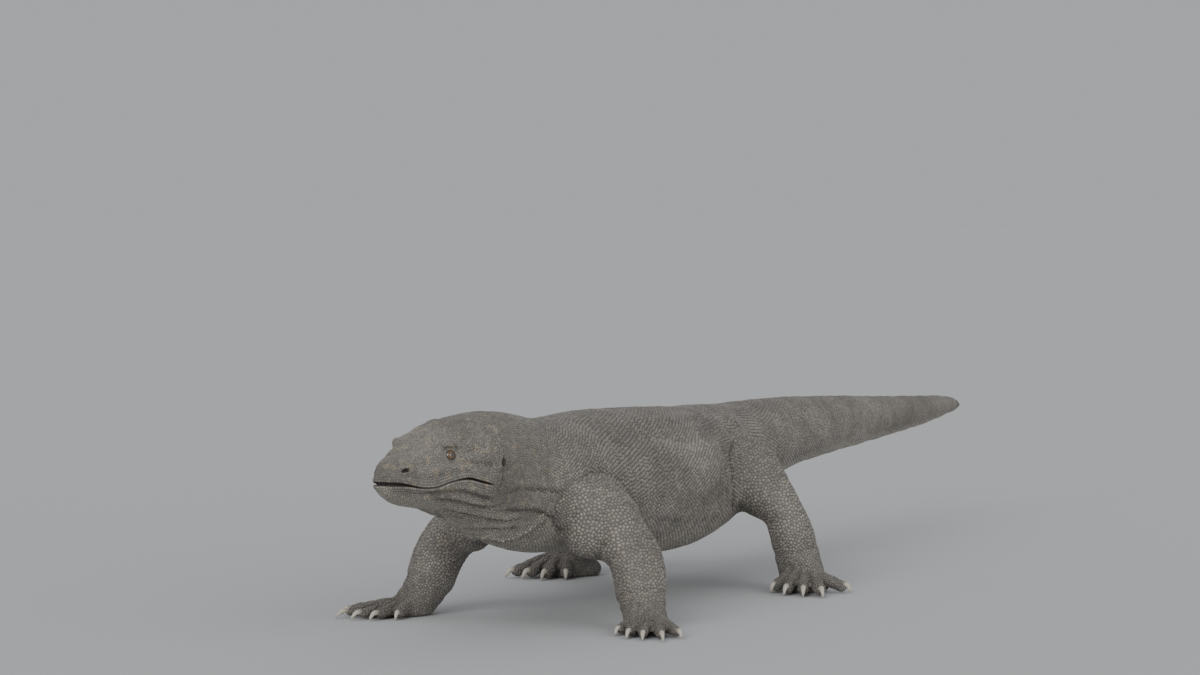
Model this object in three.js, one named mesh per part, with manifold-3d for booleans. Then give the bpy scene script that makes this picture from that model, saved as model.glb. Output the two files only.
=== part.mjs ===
// Komodo dragon (Varanus komodoensis), an adult male at life size, standing still on four spread legs
// with the head level and the tail carried straight out behind.
//
// Frame: millimetres, +Z up. The animal faces -Y and its left side is +X. The origin is on the floor,
// halfway between snout and tail tip and on the plane of symmetry. The soles are flat at z = 0.
//
// The body is a loft of rounded sections along the spine, legs, toes and claws are tapered tubes, and
// brows, joints and palms are ellipsoids. They are joined, then parted by thin cuts where a person
// would name the parts. The tables below measure y from the middle of the stance, between the feet, and
// the whole group is moved at the end.
import * as THREE from "three";
import { mergeVertices } from "three/addons/utils/BufferGeometryUtils.js";
import Module from "manifold-3d";

const wasm = await Module();
wasm.setup();

// ---------------------------------------------------------------- driving dimensions
const GAP = 0.3; // left between neighbouring pieces
const SIDES = { body: 20, limb: 12, toe: 6, claw: 5, ball: 10 };
const STEPS = { limb: 8, toe: 3, claw: 2 };
const RING_STEP = { head: 28, trunk: 60, tail: 110 }; // longest step between sections
const BLUNT_STEP = 8; // and the shortest, where the snout and the tail tip round off
const HEAD_END = -505;
const TAIL_START = 560;

// Sections of head, neck, trunk and tail. Heights are above the floor: wide is where the section is
// widest, and half is half its width there. roundTop and roundBottom are the exponents of the upper and
// lower half of the outline: 2 is an ellipse, more is squarer.
const SPINE = [
  // y, top, wide, bottom, half, roundTop, roundBottom
  [-778, 300, 291, 282, 9, 2, 2], // lips
  [-771, 311, 290, 269, 21, 2.1, 2.1],
  [-752, 323, 290, 257, 32, 2.3, 2.2], // nostrils
  [-715, 334, 290, 244, 43, 2.6, 2.2],
  [-675, 350, 290, 237, 54, 2.7, 2.2],
  [-620, 367, 289, 229, 71, 2.8, 2.2], // behind the eyes
  [-560, 378, 284, 211, 91, 2.5, 2.1], // hinge of the jaw
  [-500, 384, 276, 185, 92, 2.3, 2], // nape
  [-430, 384, 266, 158, 98, 2.2, 2], // neck
  [-360, 374, 253, 138, 108, 2.1, 2],
  [-290, 362, 240, 124, 121, 2.1, 2], // shoulders
  [-200, 357, 228, 116, 134, 2.1, 2.1],
  [-60, 360, 214, 100, 150, 2.1, 2.1], // ribs
  [80, 356, 204, 84, 158, 2.1, 2.1],
  [220, 350, 200, 77, 156, 2.1, 2.1], // belly
  [330, 343, 204, 91, 142, 2.1, 2.1],
  [430, 341, 216, 107, 121, 2, 2], // hips
  [530, 337, 235, 139, 98, 2, 2], // vent
  [660, 335, 248, 163, 79, 2, 2], // root of the tail
  [830, 330, 256, 186, 63, 2, 2],
  [1030, 321, 259, 198, 51, 2, 2],
  [1240, 308, 257, 206, 40, 2, 2],
  [1470, 294, 255, 216, 30, 2, 2],
  [1600, 287, 255, 223, 24, 2, 2],
  [1727, 278, 255, 234, 17, 2, 2],
  [1790, 268, 254, 241, 10, 2, 2],
  [1823, 257, 253, 249, 3, 2, 2], // tip
];

// The left brow and eye: centre and half sizes or radius.
const BROW = { at: [43.5, -631, 341.5], size: [15.5, 37, 12.5] };
const EYE = { at: [49.5, -649, 324.5], radius: 11 };

// The line of the mouth seen from the side: place along the head, height, and how far the lips stand
// apart there. The lower jaw is what lies below it, in front of the hinge.
const MOUTH = [
  [-800, 285, 2.4],
  [-772, 286, 5.2],
  [-750, 283, 2.6],
  [-720, 277, 0.4],
  [-690, 276, 0.2],
  [-650, 283, 0.4],
  [-618, 285, 2.4],
  [-590, 278, 2],
  [-562, 270, 0.6],
];
const JAW_BACK = [-574, 190]; // where the cut behind the jaw leaves the throat

// Legs of the left side from shoulder or hip to the sole, as stations of centre and radius, with the
// muscles beside them. The parts of the leg meet at the stations bend and ankle.
const FORELEG = {
  stations: [
    [66, -298, 236, 48],
    [110, -268, 203, 52],
    [148, -250, 163, 48],
    [186, -243, 131, 48.5],
    [203, -250, 98, 48.5],
    [212, -260, 66, 45],
    [225, -272, 34, 38.5],
    [231, -284, 12, 31],
  ],
  muscles: [
    { at: [147, -238, 184], size: [50, 48, 50] }, // upper arm
    { at: [166, -226, 150], size: [42, 36, 40] }, // elbow
    { at: [124, -260, 168], size: [44, 46, 53] }, // back of the upper arm
    { at: [116, -280, 166], size: [42, 44, 45] }, // front of the upper arm
    { at: [130, -246, 209], size: [44, 46, 43] }, // shoulder
  ],
  bend: 3,
  ankle: 5.35,
};
const HINDLEG = {
  stations: [
    [62, 396, 236, 64],
    [112, 371, 220, 68],
    [166, 352, 188, 55],
    [213, 339, 150, 40],
    [231, 341, 110, 42.5],
    [239, 347, 74, 43.5],
    [247, 350, 40, 42],
    [250, 344, 12, 34],
  ],
  muscles: [{ at: [196, 350, 167], size: [37, 40, 31] }], // knee
  bend: 3,
  ankle: 5.35,
};

// Feet of the left side. Each toe runs from its root to the point where its claw meets the floor, and
// length is how far that point lies beyond the toe's end. The heights and radii are those of a toe's
// root, middle and end.
const FOREFOOT = {
  pads: [
    { at: [246, -300, 9], size: [42, 39, 18] }, // palm
    { at: [234, -284, 20], size: [36, 35, 27] }, // wrist
  ],
  toes: [
    { root: [226, -308], claw: [218, -371], length: 11 },
    { root: [237, -320], claw: [254, -400], length: 19 },
    { root: [253, -324], claw: [288, -407], length: 20 },
    { root: [268, -318], claw: [324, -400], length: 22 },
    { root: [272, -300], claw: [338, -357], length: 14 },
  ],
  height: [18, 14, 11.5],
  radius: [13.5, 11.5, 10],
  clawHeight: 13,
  clawRadius: 5,
};
const HINDFOOT = {
  pads: [
    { at: [262, 340, 11], size: [44, 43, 20] }, // sole
    { at: [262, 342, 24], size: [38, 37, 38] }, // instep
    { at: [228, 372, 14], size: [36, 34, 24] }, // heel
  ],
  toes: [
    { root: [240, 322], claw: [218, 277], length: 9 },
    { root: [255, 314], claw: [257, 249], length: 15 },
    { root: [271, 311], claw: [298, 246], length: 17 },
    { root: [285, 316], claw: [337, 250], length: 17 },
    { root: [286, 336], claw: [353, 342], length: 10 },
  ],
  height: [30, 21.5, 14],
  radius: [16.5, 13.5, 12.3],
  clawHeight: 16.5,
  clawRadius: 6,
};
const CLAW = { tipRadius: 1.9, tipHeight: 2.2, sunk: 4 };

// Cuts across the body, as places along the spine.
const BODY_CUTS = [HEAD_END, -330, 40, 390, 610, 900, 1200, 1500];
const BODY_PARTS = ["head", "neck", "chest", "belly", "hips", "tail_1", "tail_2", "tail_3", "tail_4"];

const LOOKS = {
  skin: { color: 0x6a645b, roughness: 0.75, metalness: 0 },
  claw: { color: 0xb8b0a0, roughness: 0.45, metalness: 0 },
  eye: { color: 0x2a1a10, roughness: 0.1, metalness: 0 },
};

// ---------------------------------------------------------------- solids
const vec = (p) => new THREE.Vector3(p[0], p[1], p[2]);
const join = (solids) => solids.reduce((all, solid) => all.add(solid));

function turned(triVerts) {
  const other = triVerts.slice();
  for (let i = 0; i < other.length; i += 3) [other[i], other[i + 1]] = [other[i + 1], other[i]];
  return other;
}

// A closed geometry as a solid, with its faces turned to point out.
function toSolid(geometry) {
  const bare = geometry.clone();
  bare.deleteAttribute("normal");
  bare.deleteAttribute("uv");
  const merged = mergeVertices(bare, 1e-4);
  const vertProperties = merged.attributes.position.array;
  const triVerts = new Uint32Array(merged.index.array);
  const build = (faces) =>
    new wasm.Manifold(new wasm.Mesh({ numProp: 3, vertProperties, triVerts: faces }));
  const solid = build(triVerts);
  return solid.volume() > 0 ? solid : build(turned(triVerts));
}

// The same solid on the other side of the plane of symmetry.
function mirrored(solid) {
  const { numProp, vertProperties, triVerts } = solid.getMesh();
  for (let i = 0; i < vertProperties.length; i += numProp) vertProperties[i] *= -1;
  return new wasm.Manifold(new wasm.Mesh({ numProp, vertProperties, triVerts: turned(triVerts) }));
}

function toGeometry(solid) {
  const mesh = solid.getMesh();
  const geometry = new THREE.BufferGeometry();
  geometry.setAttribute("position", new THREE.BufferAttribute(mesh.vertProperties, mesh.numProp));
  geometry.setIndex(new THREE.BufferAttribute(mesh.triVerts, 1));
  geometry.computeVertexNormals();
  return geometry;
}

// Rings of points joined by quads, with a fan of triangles over each end.
function loft(rings) {
  const sides = rings[0].length;
  const points = rings.flat();
  const triangles = [];
  for (let start = 0; start + sides < points.length; start += sides) {
    for (let s = 0; s < sides; s++) {
      const a = start + s;
      const b = start + ((s + 1) % sides);
      triangles.push(a, b, b + sides, a, b + sides, a + sides);
    }
  }
  for (const start of [0, points.length - sides]) {
    const middle = new THREE.Vector3();
    for (let s = 0; s < sides; s++) middle.addScaledVector(points[start + s], 1 / sides);
    const centre = points.push(middle) - 1;
    for (let s = 0; s < sides; s++) {
      const edge = [start + s, start + ((s + 1) % sides)];
      triangles.push(centre, ...(start === 0 ? edge.reverse() : edge));
    }
  }
  return toSolid(new THREE.BufferGeometry().setFromPoints(points).setIndex(triangles));
}

function ellipsoid(at, size, grow = 0) {
  const ball = new THREE.SphereGeometry(1, SIDES.ball, SIDES.ball / 2);
  ball.rotateX(Math.PI / 2);
  ball.scale(size[0] + grow, size[1] + grow, size[2] + grow);
  ball.translate(...at);
  return toSolid(ball);
}

// All space on the side of a plane that its normal points away from, as a block much larger than the
// animal.
function halfSpace(point, normal) {
  const reach = 4000;
  const block = new THREE.BoxGeometry(reach, reach, reach);
  block.translate(0, 0, -reach / 2);
  block.applyQuaternion(new THREE.Quaternion().setFromUnitVectors(new THREE.Vector3(0, 0, 1), normal));
  block.translate(point.x, point.y, point.z);
  return toSolid(block);
}

// Divides a solid by a plane, and leaves the gap between the halves: the far one and the near one.
function divide(solid, point, normal) {
  const shift = normal.clone().multiplyScalar(GAP / 2);
  const far = solid.subtract(halfSpace(point.clone().add(shift), normal));
  const near = solid.intersect(halfSpace(point.clone().sub(shift), normal));
  return [far, near];
}

// Smooth values between the rows of a table whose first column rises.
function along(table, t) {
  const last = table.length - 1;
  let i = 0;
  while (i < last - 1 && t > table[i + 1][0]) i++;
  const [from, to] = [table[i], table[i + 1]];
  const span = to[0] - from[0];
  const u = THREE.MathUtils.clamp((t - from[0]) / span, 0, 1);
  const slope = (low, high, k) =>
    ((table[high][k] - table[low][k]) / (table[high][0] - table[low][0])) * span;
  return from.map((start, k) => {
    if (k === 0) return t;
    const leaving = slope(Math.max(i - 1, 0), i + 1, k);
    const arriving = slope(i, Math.min(i + 2, last), k);
    const rise = to[k] - start;
    const cubic = leaving + arriving - 2 * rise;
    const square = 3 * rise - 2 * leaving - arriving;
    return start + u * (leaving + u * (square + u * cubic));
  });
}

// ---------------------------------------------------------------- body
function bodyRing(y, grow) {
  const [, top, wide, bottom, half, roundTop, roundBottom] = along(SPINE, y);
  return Array.from({ length: SIDES.body }, (_, s) => {
    const angle = (2 * Math.PI * (s + 0.5)) / SIDES.body;
    const [across, up] = [Math.cos(angle), Math.sin(angle)];
    const power = 2 / (up > 0 ? roundTop : roundBottom);
    const rise = (up > 0 ? top - wide : wide - bottom) + grow;
    const x = Math.sign(across) * Math.abs(across) ** power * (half + grow);
    return new THREE.Vector3(x, y, wide + Math.sign(up) * Math.abs(up) ** power * rise);
  });
}

function bodySolid(grow = 0) {
  const [first, last] = [SPINE[0][0], SPINE.at(-1)[0]];
  const rings = [];
  for (let y = first; y < last - 1; ) {
    rings.push(bodyRing(y, grow));
    const fromEnd = Math.min(y - first, last - y);
    const step = y < HEAD_END ? RING_STEP.head : y < TAIL_START ? RING_STEP.trunk : RING_STEP.tail;
    y += Math.min(step, Math.max(BLUNT_STEP, fromEnd * 0.7));
  }
  rings.push(bodyRing(last, grow));
  return loft(rings);
}

// What lies under the line of the mouth and in front of the hinge. The lips part by the opening given
// in the table, and by no less than the gap.
function jawSpace(lowered) {
  const outline = MOUTH.map(([y, z, opening]) => [y, z + opening / 2 - (lowered ? opening + GAP : 0)]);
  const back = lowered ? GAP : 0;
  const corner = outline.at(-1);
  corner[0] -= back;
  outline.push([JAW_BACK[0] - back, JAW_BACK[1]]);
  outline.push([JAW_BACK[0] - back, 0], [MOUTH[0][0], 0]);
  const shape = new THREE.Shape(outline.map(([y, z]) => new THREE.Vector2(y, z)));
  const prism = new THREE.ExtrudeGeometry(shape, { depth: 400, bevelEnabled: false });
  prism.translate(0, 0, -200);
  prism.applyMatrix4(new THREE.Matrix4().makeBasis(vec([0, 1, 0]), vec([0, 0, 1]), vec([1, 0, 0])));
  return toSolid(prism);
}

// ---------------------------------------------------------------- legs
// A tube through stations [x, y, z, radius], with round sections and closed ends.
function tube(stations, sides, steps, grow = 0) {
  const table = stations.map((station, i) => [i, ...station]);
  const last = table.length - 1;
  const up = new THREE.Vector3(0, 0, 1);
  const rings = [];
  for (let i = 0; i <= steps; i++) {
    const t = (i / steps) * last;
    const [, x, y, z, radius] = along(table, t);
    const way = direction(table, t);
    up.addScaledVector(way, -up.dot(way)).normalize();
    const across = new THREE.Vector3().crossVectors(way, up);
    const ring = [];
    for (let s = 0; s < sides; s++) {
      const angle = (2 * Math.PI * s) / sides;
      const point = new THREE.Vector3(x, y, z);
      point.addScaledVector(across, Math.cos(angle) * (radius + grow));
      point.addScaledVector(up, Math.sin(angle) * (radius + grow));
      ring.push(point);
    }
    rings.push(ring);
  }
  return loft(rings);
}

function direction(table, t) {
  const ahead = along(table, Math.min(t + 0.01, table.length - 1));
  const behind = along(table, Math.max(t - 0.01, 0));
  return vec(ahead.slice(1)).sub(vec(behind.slice(1))).normalize();
}

// Stations of one toe and of its claw, from the root to the point.
function toeStations({ height, radius, clawHeight, clawRadius }, { root, claw, length }) {
  const reach = Math.hypot(claw[0] - root[0], claw[1] - root[1]);
  const place = (distance, z, r) => {
    const share = distance / reach;
    return [root[0] + (claw[0] - root[0]) * share, root[1] + (claw[1] - root[1]) * share, z, r];
  };
  const end = reach - length;
  const toe = [
    place(0, height[0], radius[0]),
    place(end * 0.5, height[1], radius[1]),
    place(end * 0.85, height[2], radius[2]),
    place(end + 2, height[2], radius[2] * 0.84),
  ];
  const nail = [
    place(end - CLAW.sunk, clawHeight, clawRadius),
    place(end + length * 0.45, clawHeight * 0.85, clawRadius * 0.82),
    place(reach, CLAW.tipHeight, CLAW.tipRadius),
  ];
  return { toe, nail };
}

// A leg with its foot as one solid, without the claws.
function legSolid(leg, foot, grow = 0) {
  const limb = tube(leg.stations, SIDES.limb, STEPS.limb, grow);
  const pads = [...leg.muscles, ...foot.pads].map(({ at, size }) => ellipsoid(at, size, grow));
  const toes = foot.toes.map((toe) => tube(toeStations(foot, toe).toe, SIDES.toe, STEPS.toe, grow));
  return join([limb, ...pads, ...toes]);
}

// Upper leg, lower leg and foot, parted across the leg at its joints.
function divideLeg(solid, leg) {
  const table = leg.stations.map((station, i) => [i, ...station]);
  const cut = (piece, t) => divide(piece, vec(along(table, t).slice(1)), direction(table, t));
  const [below, upper] = cut(solid, leg.bend);
  const [foot, lower] = cut(below, leg.ankle);
  return [upper, lower, foot];
}

// ---------------------------------------------------------------- assembly
const komodoDragon = new THREE.Group();
const aboveFloor = halfSpace(vec([0, 0, 0]), vec([0, 0, -1]));

function addPiece(name, solid, look) {
  const mesh = new THREE.Mesh(toGeometry(solid), new THREE.MeshStandardMaterial(LOOKS[look]));
  mesh.name = name;
  komodoDragon.add(mesh);
}

// A piece of the left side and its mirror image, with the side's name put in place of SIDE.
function addPair(name, solid, look) {
  addPiece(name.replace("SIDE", "left"), solid, look);
  addPiece(name.replace("SIDE", "right"), mirrored(solid), look);
}

function addBody() {
  const brow = ellipsoid(BROW.at, BROW.size);
  let rest = join([bodySolid(), brow, mirrored(brow)]);
  BODY_PARTS.forEach((name, i) => {
    let piece = rest;
    if (i < BODY_CUTS.length) [rest, piece] = divide(rest, vec([0, BODY_CUTS[i], 0]), vec([0, 1, 0]));
    if (name === "head") addHead(piece);
    else addPiece(name, piece, "skin");
  });
}

function addHead(whole) {
  const size = [EYE.radius, EYE.radius, EYE.radius];
  const socket = ellipsoid(EYE.at, size, GAP);
  addPiece("head", whole.subtract(join([socket, mirrored(socket), jawSpace(false)])), "skin");
  addPiece("lower_jaw", whole.intersect(jawSpace(true)), "skin");
  addPair("eye_SIDE", ellipsoid(EYE.at, size), "eye");
}

// The legs are cut back from the body and from its mirror image, since the facets of its two sides differ.
function addLegs(leg, foot, partNames, clawName) {
  const body = bodySolid(GAP);
  const whole = legSolid(leg, foot).subtract(join([body, mirrored(body)])).intersect(aboveFloor);
  divideLeg(whole, leg).forEach((piece, i) => addPair(`${partNames[i]}_SIDE`, piece, "skin"));
  const grown = legSolid(leg, foot, GAP);
  foot.toes.forEach((toe, i) => {
    const nail = tube(toeStations(foot, toe).nail, SIDES.claw, STEPS.claw);
    addPair(`${clawName}_SIDE_${i + 1}`, nail.subtract(grown).intersect(aboveFloor), "claw");
  });
}

addBody();
addLegs(FORELEG, FOREFOOT, ["upper_arm", "forearm", "forefoot"], "claw_fore");
addLegs(HINDLEG, HINDFOOT, ["thigh", "shank", "hindfoot"], "claw_hind");
komodoDragon.position.y = -(SPINE[0][0] + SPINE.at(-1)[0]) / 2;

export default komodoDragon;
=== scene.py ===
"""The looks of a life-size komodo dragon: one skin, its scales, eyes and claws.

Tables and relief are in millimetres and measure y from the middle of the stance, between the feet, as
the solids' source does. Meshes are made in metres in the part's frame. The animal faces -Y, its left
side is +X, and all that is said of the left side holds for the right side mirrored.
"""

import math

import bmesh
import bpy
import numpy as np
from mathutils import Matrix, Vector
from mathutils.bvhtree import BVHTree
from mathutils.kdtree import KDTree

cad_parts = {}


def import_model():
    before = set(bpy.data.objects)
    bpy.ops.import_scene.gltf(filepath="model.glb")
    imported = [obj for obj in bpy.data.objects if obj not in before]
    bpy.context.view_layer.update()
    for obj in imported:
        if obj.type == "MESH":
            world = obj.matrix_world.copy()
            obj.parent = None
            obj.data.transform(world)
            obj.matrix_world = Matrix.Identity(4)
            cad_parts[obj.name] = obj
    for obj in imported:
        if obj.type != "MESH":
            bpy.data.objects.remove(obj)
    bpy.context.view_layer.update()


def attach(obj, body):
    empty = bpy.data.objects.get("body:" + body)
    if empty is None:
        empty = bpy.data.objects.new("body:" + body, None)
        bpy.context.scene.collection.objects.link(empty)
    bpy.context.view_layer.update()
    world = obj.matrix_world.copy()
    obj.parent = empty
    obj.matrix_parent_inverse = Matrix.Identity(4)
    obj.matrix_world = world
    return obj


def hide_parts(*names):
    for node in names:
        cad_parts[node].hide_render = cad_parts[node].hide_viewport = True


# ------------------------------------------------------------------ driving dimensions
MM = 0.001
COAT = 1.5  # how far the skin lies inside the solids, which the scales fill
UP = np.array([0.0, 0.0, 1.0])

# Sections of head, neck, trunk and tail, as in the solids.
SPINE = np.array(
    [
        # y, top, wide, bottom, half, roundTop, roundBottom
        (-778, 300, 291, 282, 9, 2, 2),  # lips
        (-771, 311, 290, 269, 21, 2.1, 2.1),
        (-752, 323, 290, 257, 32, 2.3, 2.2),  # nostrils
        (-715, 334, 290, 244, 43, 2.6, 2.2),
        (-675, 350, 290, 237, 54, 2.7, 2.2),
        (-620, 367, 289, 229, 71, 2.8, 2.2),  # behind the eyes
        (-560, 378, 284, 211, 91, 2.5, 2.1),  # hinge of the jaw
        (-500, 384, 276, 185, 92, 2.3, 2),  # nape
        (-430, 384, 266, 158, 98, 2.2, 2),  # neck
        (-360, 374, 253, 138, 108, 2.1, 2),
        (-290, 362, 240, 124, 121, 2.1, 2),  # shoulders
        (-200, 357, 228, 116, 134, 2.1, 2.1),
        (-60, 360, 214, 100, 150, 2.1, 2.1),  # ribs
        (80, 356, 204, 84, 158, 2.1, 2.1),
        (220, 350, 200, 77, 156, 2.1, 2.1),  # belly
        (330, 343, 204, 91, 142, 2.1, 2.1),
        (430, 341, 216, 107, 121, 2, 2),  # hips
        (530, 337, 235, 139, 98, 2, 2),  # vent
        (660, 335, 248, 163, 79, 2, 2),  # root of the tail
        (830, 330, 256, 186, 63, 2, 2),
        (1030, 321, 259, 198, 51, 2, 2),
        (1240, 308, 257, 206, 40, 2, 2),
        (1470, 294, 255, 216, 30, 2, 2),
        (1600, 287, 255, 223, 24, 2, 2),
        (1727, 278, 255, 234, 17, 2, 2),
        (1790, 268, 254, 241, 10, 2, 2),
        (1823, 257, 253, 249, 3, 2, 2),  # tip
    ],
    float,
)
SNOUT = SPINE[0, 0]
TAIL_TIP = SPINE[-1, 0]
SHIFT = -(SNOUT + TAIL_TIP) / 2  # from the tables' y to the frame's

BROW = {"at": (43.5, -631, 341.5), "size": (15.5, 37, 12.5)}
EYE = np.array([49.5, -649, 324.5])
EYE_RADIUS = 11
EYE_AXIS = np.array([0.88, -0.40, 0.24])  # the way the left eye looks
# Half width and height of the gap between the lids, their distance from the eye's centre, and that of
# the skin that goes on below the eyeball's surface.
LID = {"width": 9.4, "height": 8.2, "radius": 12.3, "under": 8.6}
LID_CREASES = ((1.42, 0.08), (1.75, 0.1))  # place, where 1 is the edge of the lids, and width

# The line of the mouth seen from the side: place along the head, height, and how far the lips part.
MOUTH = np.array(
    [
        (-800, 285, 2.4),
        (-772, 286, 5.2),
        (-750, 283, 2.6),
        (-720, 277, 0.4),
        (-690, 276, 0.2),
        (-650, 283, 0.4),
        (-618, 285, 2.4),
        (-590, 278, 2),
        (-562, 270, 0.6),
    ],
    float,
)
MOUTH_CORNER = -566

# Legs of the left side: stations of centre and radius, with the muscles beside them.
FORELEG = {
    "stations": np.array(
        [
            (66, -298, 236, 48),
            (110, -268, 203, 52),
            (148, -250, 163, 48),
            (186, -243, 131, 48.5),
            (203, -250, 98, 48.5),
            (212, -260, 66, 45),
            (225, -272, 34, 38.5),
            (231, -284, 12, 31),
        ],
        float,
    ),
    "muscles": [
        {"at": (147, -238, 184), "size": (50, 48, 50)},  # upper arm
        {"at": (166, -226, 150), "size": (42, 36, 40)},  # elbow
        {"at": (124, -260, 168), "size": (44, 46, 53)},  # back of the upper arm
        {"at": (116, -280, 166), "size": (42, 44, 45)},  # front of the upper arm
        {"at": (130, -246, 209), "size": (44, 46, 43)},  # shoulder
    ],
}
HINDLEG = {
    "stations": np.array(
        [
            (62, 396, 236, 64),
            (112, 371, 220, 68),
            (166, 352, 188, 55),
            (213, 339, 150, 40),
            (231, 341, 110, 42.5),
            (239, 347, 74, 43.5),
            (247, 350, 40, 42),
            (250, 344, 12, 34),
        ],
        float,
    ),
    "muscles": [{"at": (196, 350, 167), "size": (37, 40, 31)}],  # knee
}

# Feet of the left side. Each toe runs from its root to the point where its claw meets the floor, and
# the last number is how far that point lies beyond the toe's end.
FOREFOOT = {
    "pads": [
        {"at": (246, -300, 9), "size": (42, 39, 18)},  # palm
        {"at": (234, -284, 20), "size": (36, 35, 27)},  # wrist
    ],
    "toes": [
        ((226, -308), (218, -371), 11),
        ((237, -320), (254, -400), 19),
        ((253, -324), (288, -407), 20),
        ((268, -318), (324, -400), 22),
        ((272, -300), (338, -357), 14),
    ],
    "height": (18, 14, 11.5),
    "radius": (13.5, 11.5, 10),
    "claw_height": 13,
    "claw_radius": 5,
}
HINDFOOT = {
    "pads": [
        {"at": (262, 340, 11), "size": (44, 43, 20)},  # sole
        {"at": (262, 342, 24), "size": (38, 37, 38)},  # instep
        {"at": (228, 372, 14), "size": (36, 34, 24)},  # heel
    ],
    "toes": [
        ((240, 322), (218, 277), 9),
        ((255, 314), (257, 249), 15),
        ((271, 311), (298, 246), 17),
        ((285, 316), (337, 250), 17),
        ((286, 336), (353, 342), 10),
    ],
    "height": (30, 21.5, 14),
    "radius": (16.5, 13.5, 12.3),
    "claw_height": 16.5,
    "claw_radius": 6,
}
LEGS = {"fore": (FORELEG, FOREFOOT), "hind": (HINDLEG, HINDFOOT)}
CLAW = {"tip_radius": 1.9, "tip_height": 2.2, "sunk": 4, "arch": 1.6, "narrow": 0.92, "groove": 0.22}
SIDES = {"left": 1, "right": -1}

# How softly one form runs into the next.
BLEND = {"leg": 17, "muscle": 14, "toe": 5, "brow": 9}
LEG_REACH = 60  # room round a leg where it still shapes the body
LEG_STEPS = 21  # straight pieces in which a leg's curve is measured
TOE_STEPS = 6
CELL = 7.5  # of the grid from which the skin's mesh is drawn


# ------------------------------------------------------------------ numbers
def smooth_rows(table, places):
    """Smooth values between the rows of a table whose first column rises, at many places."""
    keys = table[:, 0]
    last = len(keys) - 1
    i = np.clip(np.searchsorted(keys, places) - 1, 0, last - 1)
    span = keys[i + 1] - keys[i]
    u = np.clip((places - keys[i]) / span, 0, 1)[..., None]

    def slope(low, high):
        steepness = (table[high] - table[low]) / (keys[high] - keys[low])[..., None]
        return steepness * span[..., None]

    leaving = slope(np.maximum(i - 1, 0), i + 1)
    arriving = slope(i, np.minimum(i + 2, last))
    rise = table[i + 1] - table[i]
    cubic = leaving + arriving - 2 * rise
    square = 3 * rise - 2 * leaving - arriving
    return table[i] + u * (leaving + u * (square + u * cubic))


def soft_min(a, b, blend):
    """The smaller of two fields, with a fillet where they meet."""
    near = np.maximum(blend - np.abs(a - b), 0) / blend
    return np.minimum(a, b) - near * near * blend / 4


def ramp(x, low, high):
    """0 below low, 1 above high, smooth between. low may lie above high."""
    t = np.clip((x - low) / (high - low), 0, 1)
    return t * t * (3 - 2 * t)


def bell(distance, width):
    return np.exp(-((distance / width) ** 2))


def unit(vectors):
    return vectors / np.maximum(np.linalg.norm(vectors, axis=-1, keepdims=True), 1e-9)


def mirrored(points):
    """The points on the left side that these are, or are mirror images of."""
    return np.c_[np.abs(points[:, 0]), points[:, 1:]]


def side_of(points):
    """What turns points or ways to the left side and back: -1 across for those of the right side."""
    return np.where(points[:, :1] < 0, -1.0, 1.0) * (1, 0, 0) + (0, 1, 1)


def noise(points, size, seed):
    """Smooth random values from -1 to 1 that change over the given size."""
    cell = np.floor(points / size).astype(np.int64)
    part = points / size - cell
    part = part * part * (3 - 2 * part)
    total = np.zeros(len(points))
    for corner in np.ndindex(2, 2, 2):
        place = cell + corner
        value = place[:, 0] * 73856093 ^ place[:, 1] * 19349663 ^ place[:, 2] * 83492791 ^ seed * 2654435
        value = (value ^ (value >> 13)) * 1274126177 & 0x7FFFFFFF
        value = (value ^ (value >> 16)) & 0xFFFF
        share = np.prod(np.where(corner, part, 1 - part), axis=1)
        total += share * (value / 32767.5 - 1)
    return total


def to_polyline(points, line):
    """Distance from points to a line through the given corners, and how far along it the nearest place
    lies, from 0 to 1."""
    line = np.asarray(line, float)
    lengths = np.linalg.norm(np.diff(line, axis=0), axis=1)
    starts = np.r_[0, np.cumsum(lengths)]
    best = np.full(len(points), np.inf)
    place = np.zeros(len(points))
    for a, b, start, length in zip(line[:-1], line[1:], starts[:-1], lengths, strict=True):
        t = np.clip((points - a) @ (b - a) / length**2, 0, 1)
        distance = np.linalg.norm(points - a - t[:, None] * (b - a), axis=1)
        closer = distance < best
        best = np.where(closer, distance, best)
        place = np.where(closer, (start + t * length) / starts[-1], place)
    return best, place


# ------------------------------------------------------------------ the form as a field
# A field is negative inside the flesh and about the distance to its surface, in millimetres.
def body_field(x, y, z):
    """The sections of the spine, each a rounded oval above and another below its widest height."""
    rows = smooth_rows(SPINE, y)
    top, wide, bottom, half, round_top, round_bottom = np.moveaxis(rows[..., 1:], -1, 0)
    above = z > wide
    power = np.where(above, round_top, round_bottom)
    rise = np.where(above, top - wide, wide - bottom)
    level = (np.abs(x) / half) ** power + (np.abs(z - wide) / rise) ** power
    stretch = np.maximum(level, 1e-6) ** (-1 / power)
    radius = np.hypot(x, z - wide)
    field = np.where(level > 1e-6, radius * (1 - stretch), -np.minimum(half, rise))
    ends = np.maximum(SNOUT - y, y - TAIL_TIP)
    return np.maximum(field, ends)


def ball_field(x, y, z, at, size):
    px, py, pz = x - at[0], y - at[1], z - at[2]
    k0 = np.sqrt((px / size[0]) ** 2 + (py / size[1]) ** 2 + (pz / size[2]) ** 2)
    k1 = np.sqrt((px / size[0] ** 2) ** 2 + (py / size[1] ** 2) ** 2 + (pz / size[2] ** 2) ** 2)
    return k0 * (k0 - 1) / np.maximum(k1, 1e-9)


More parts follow.
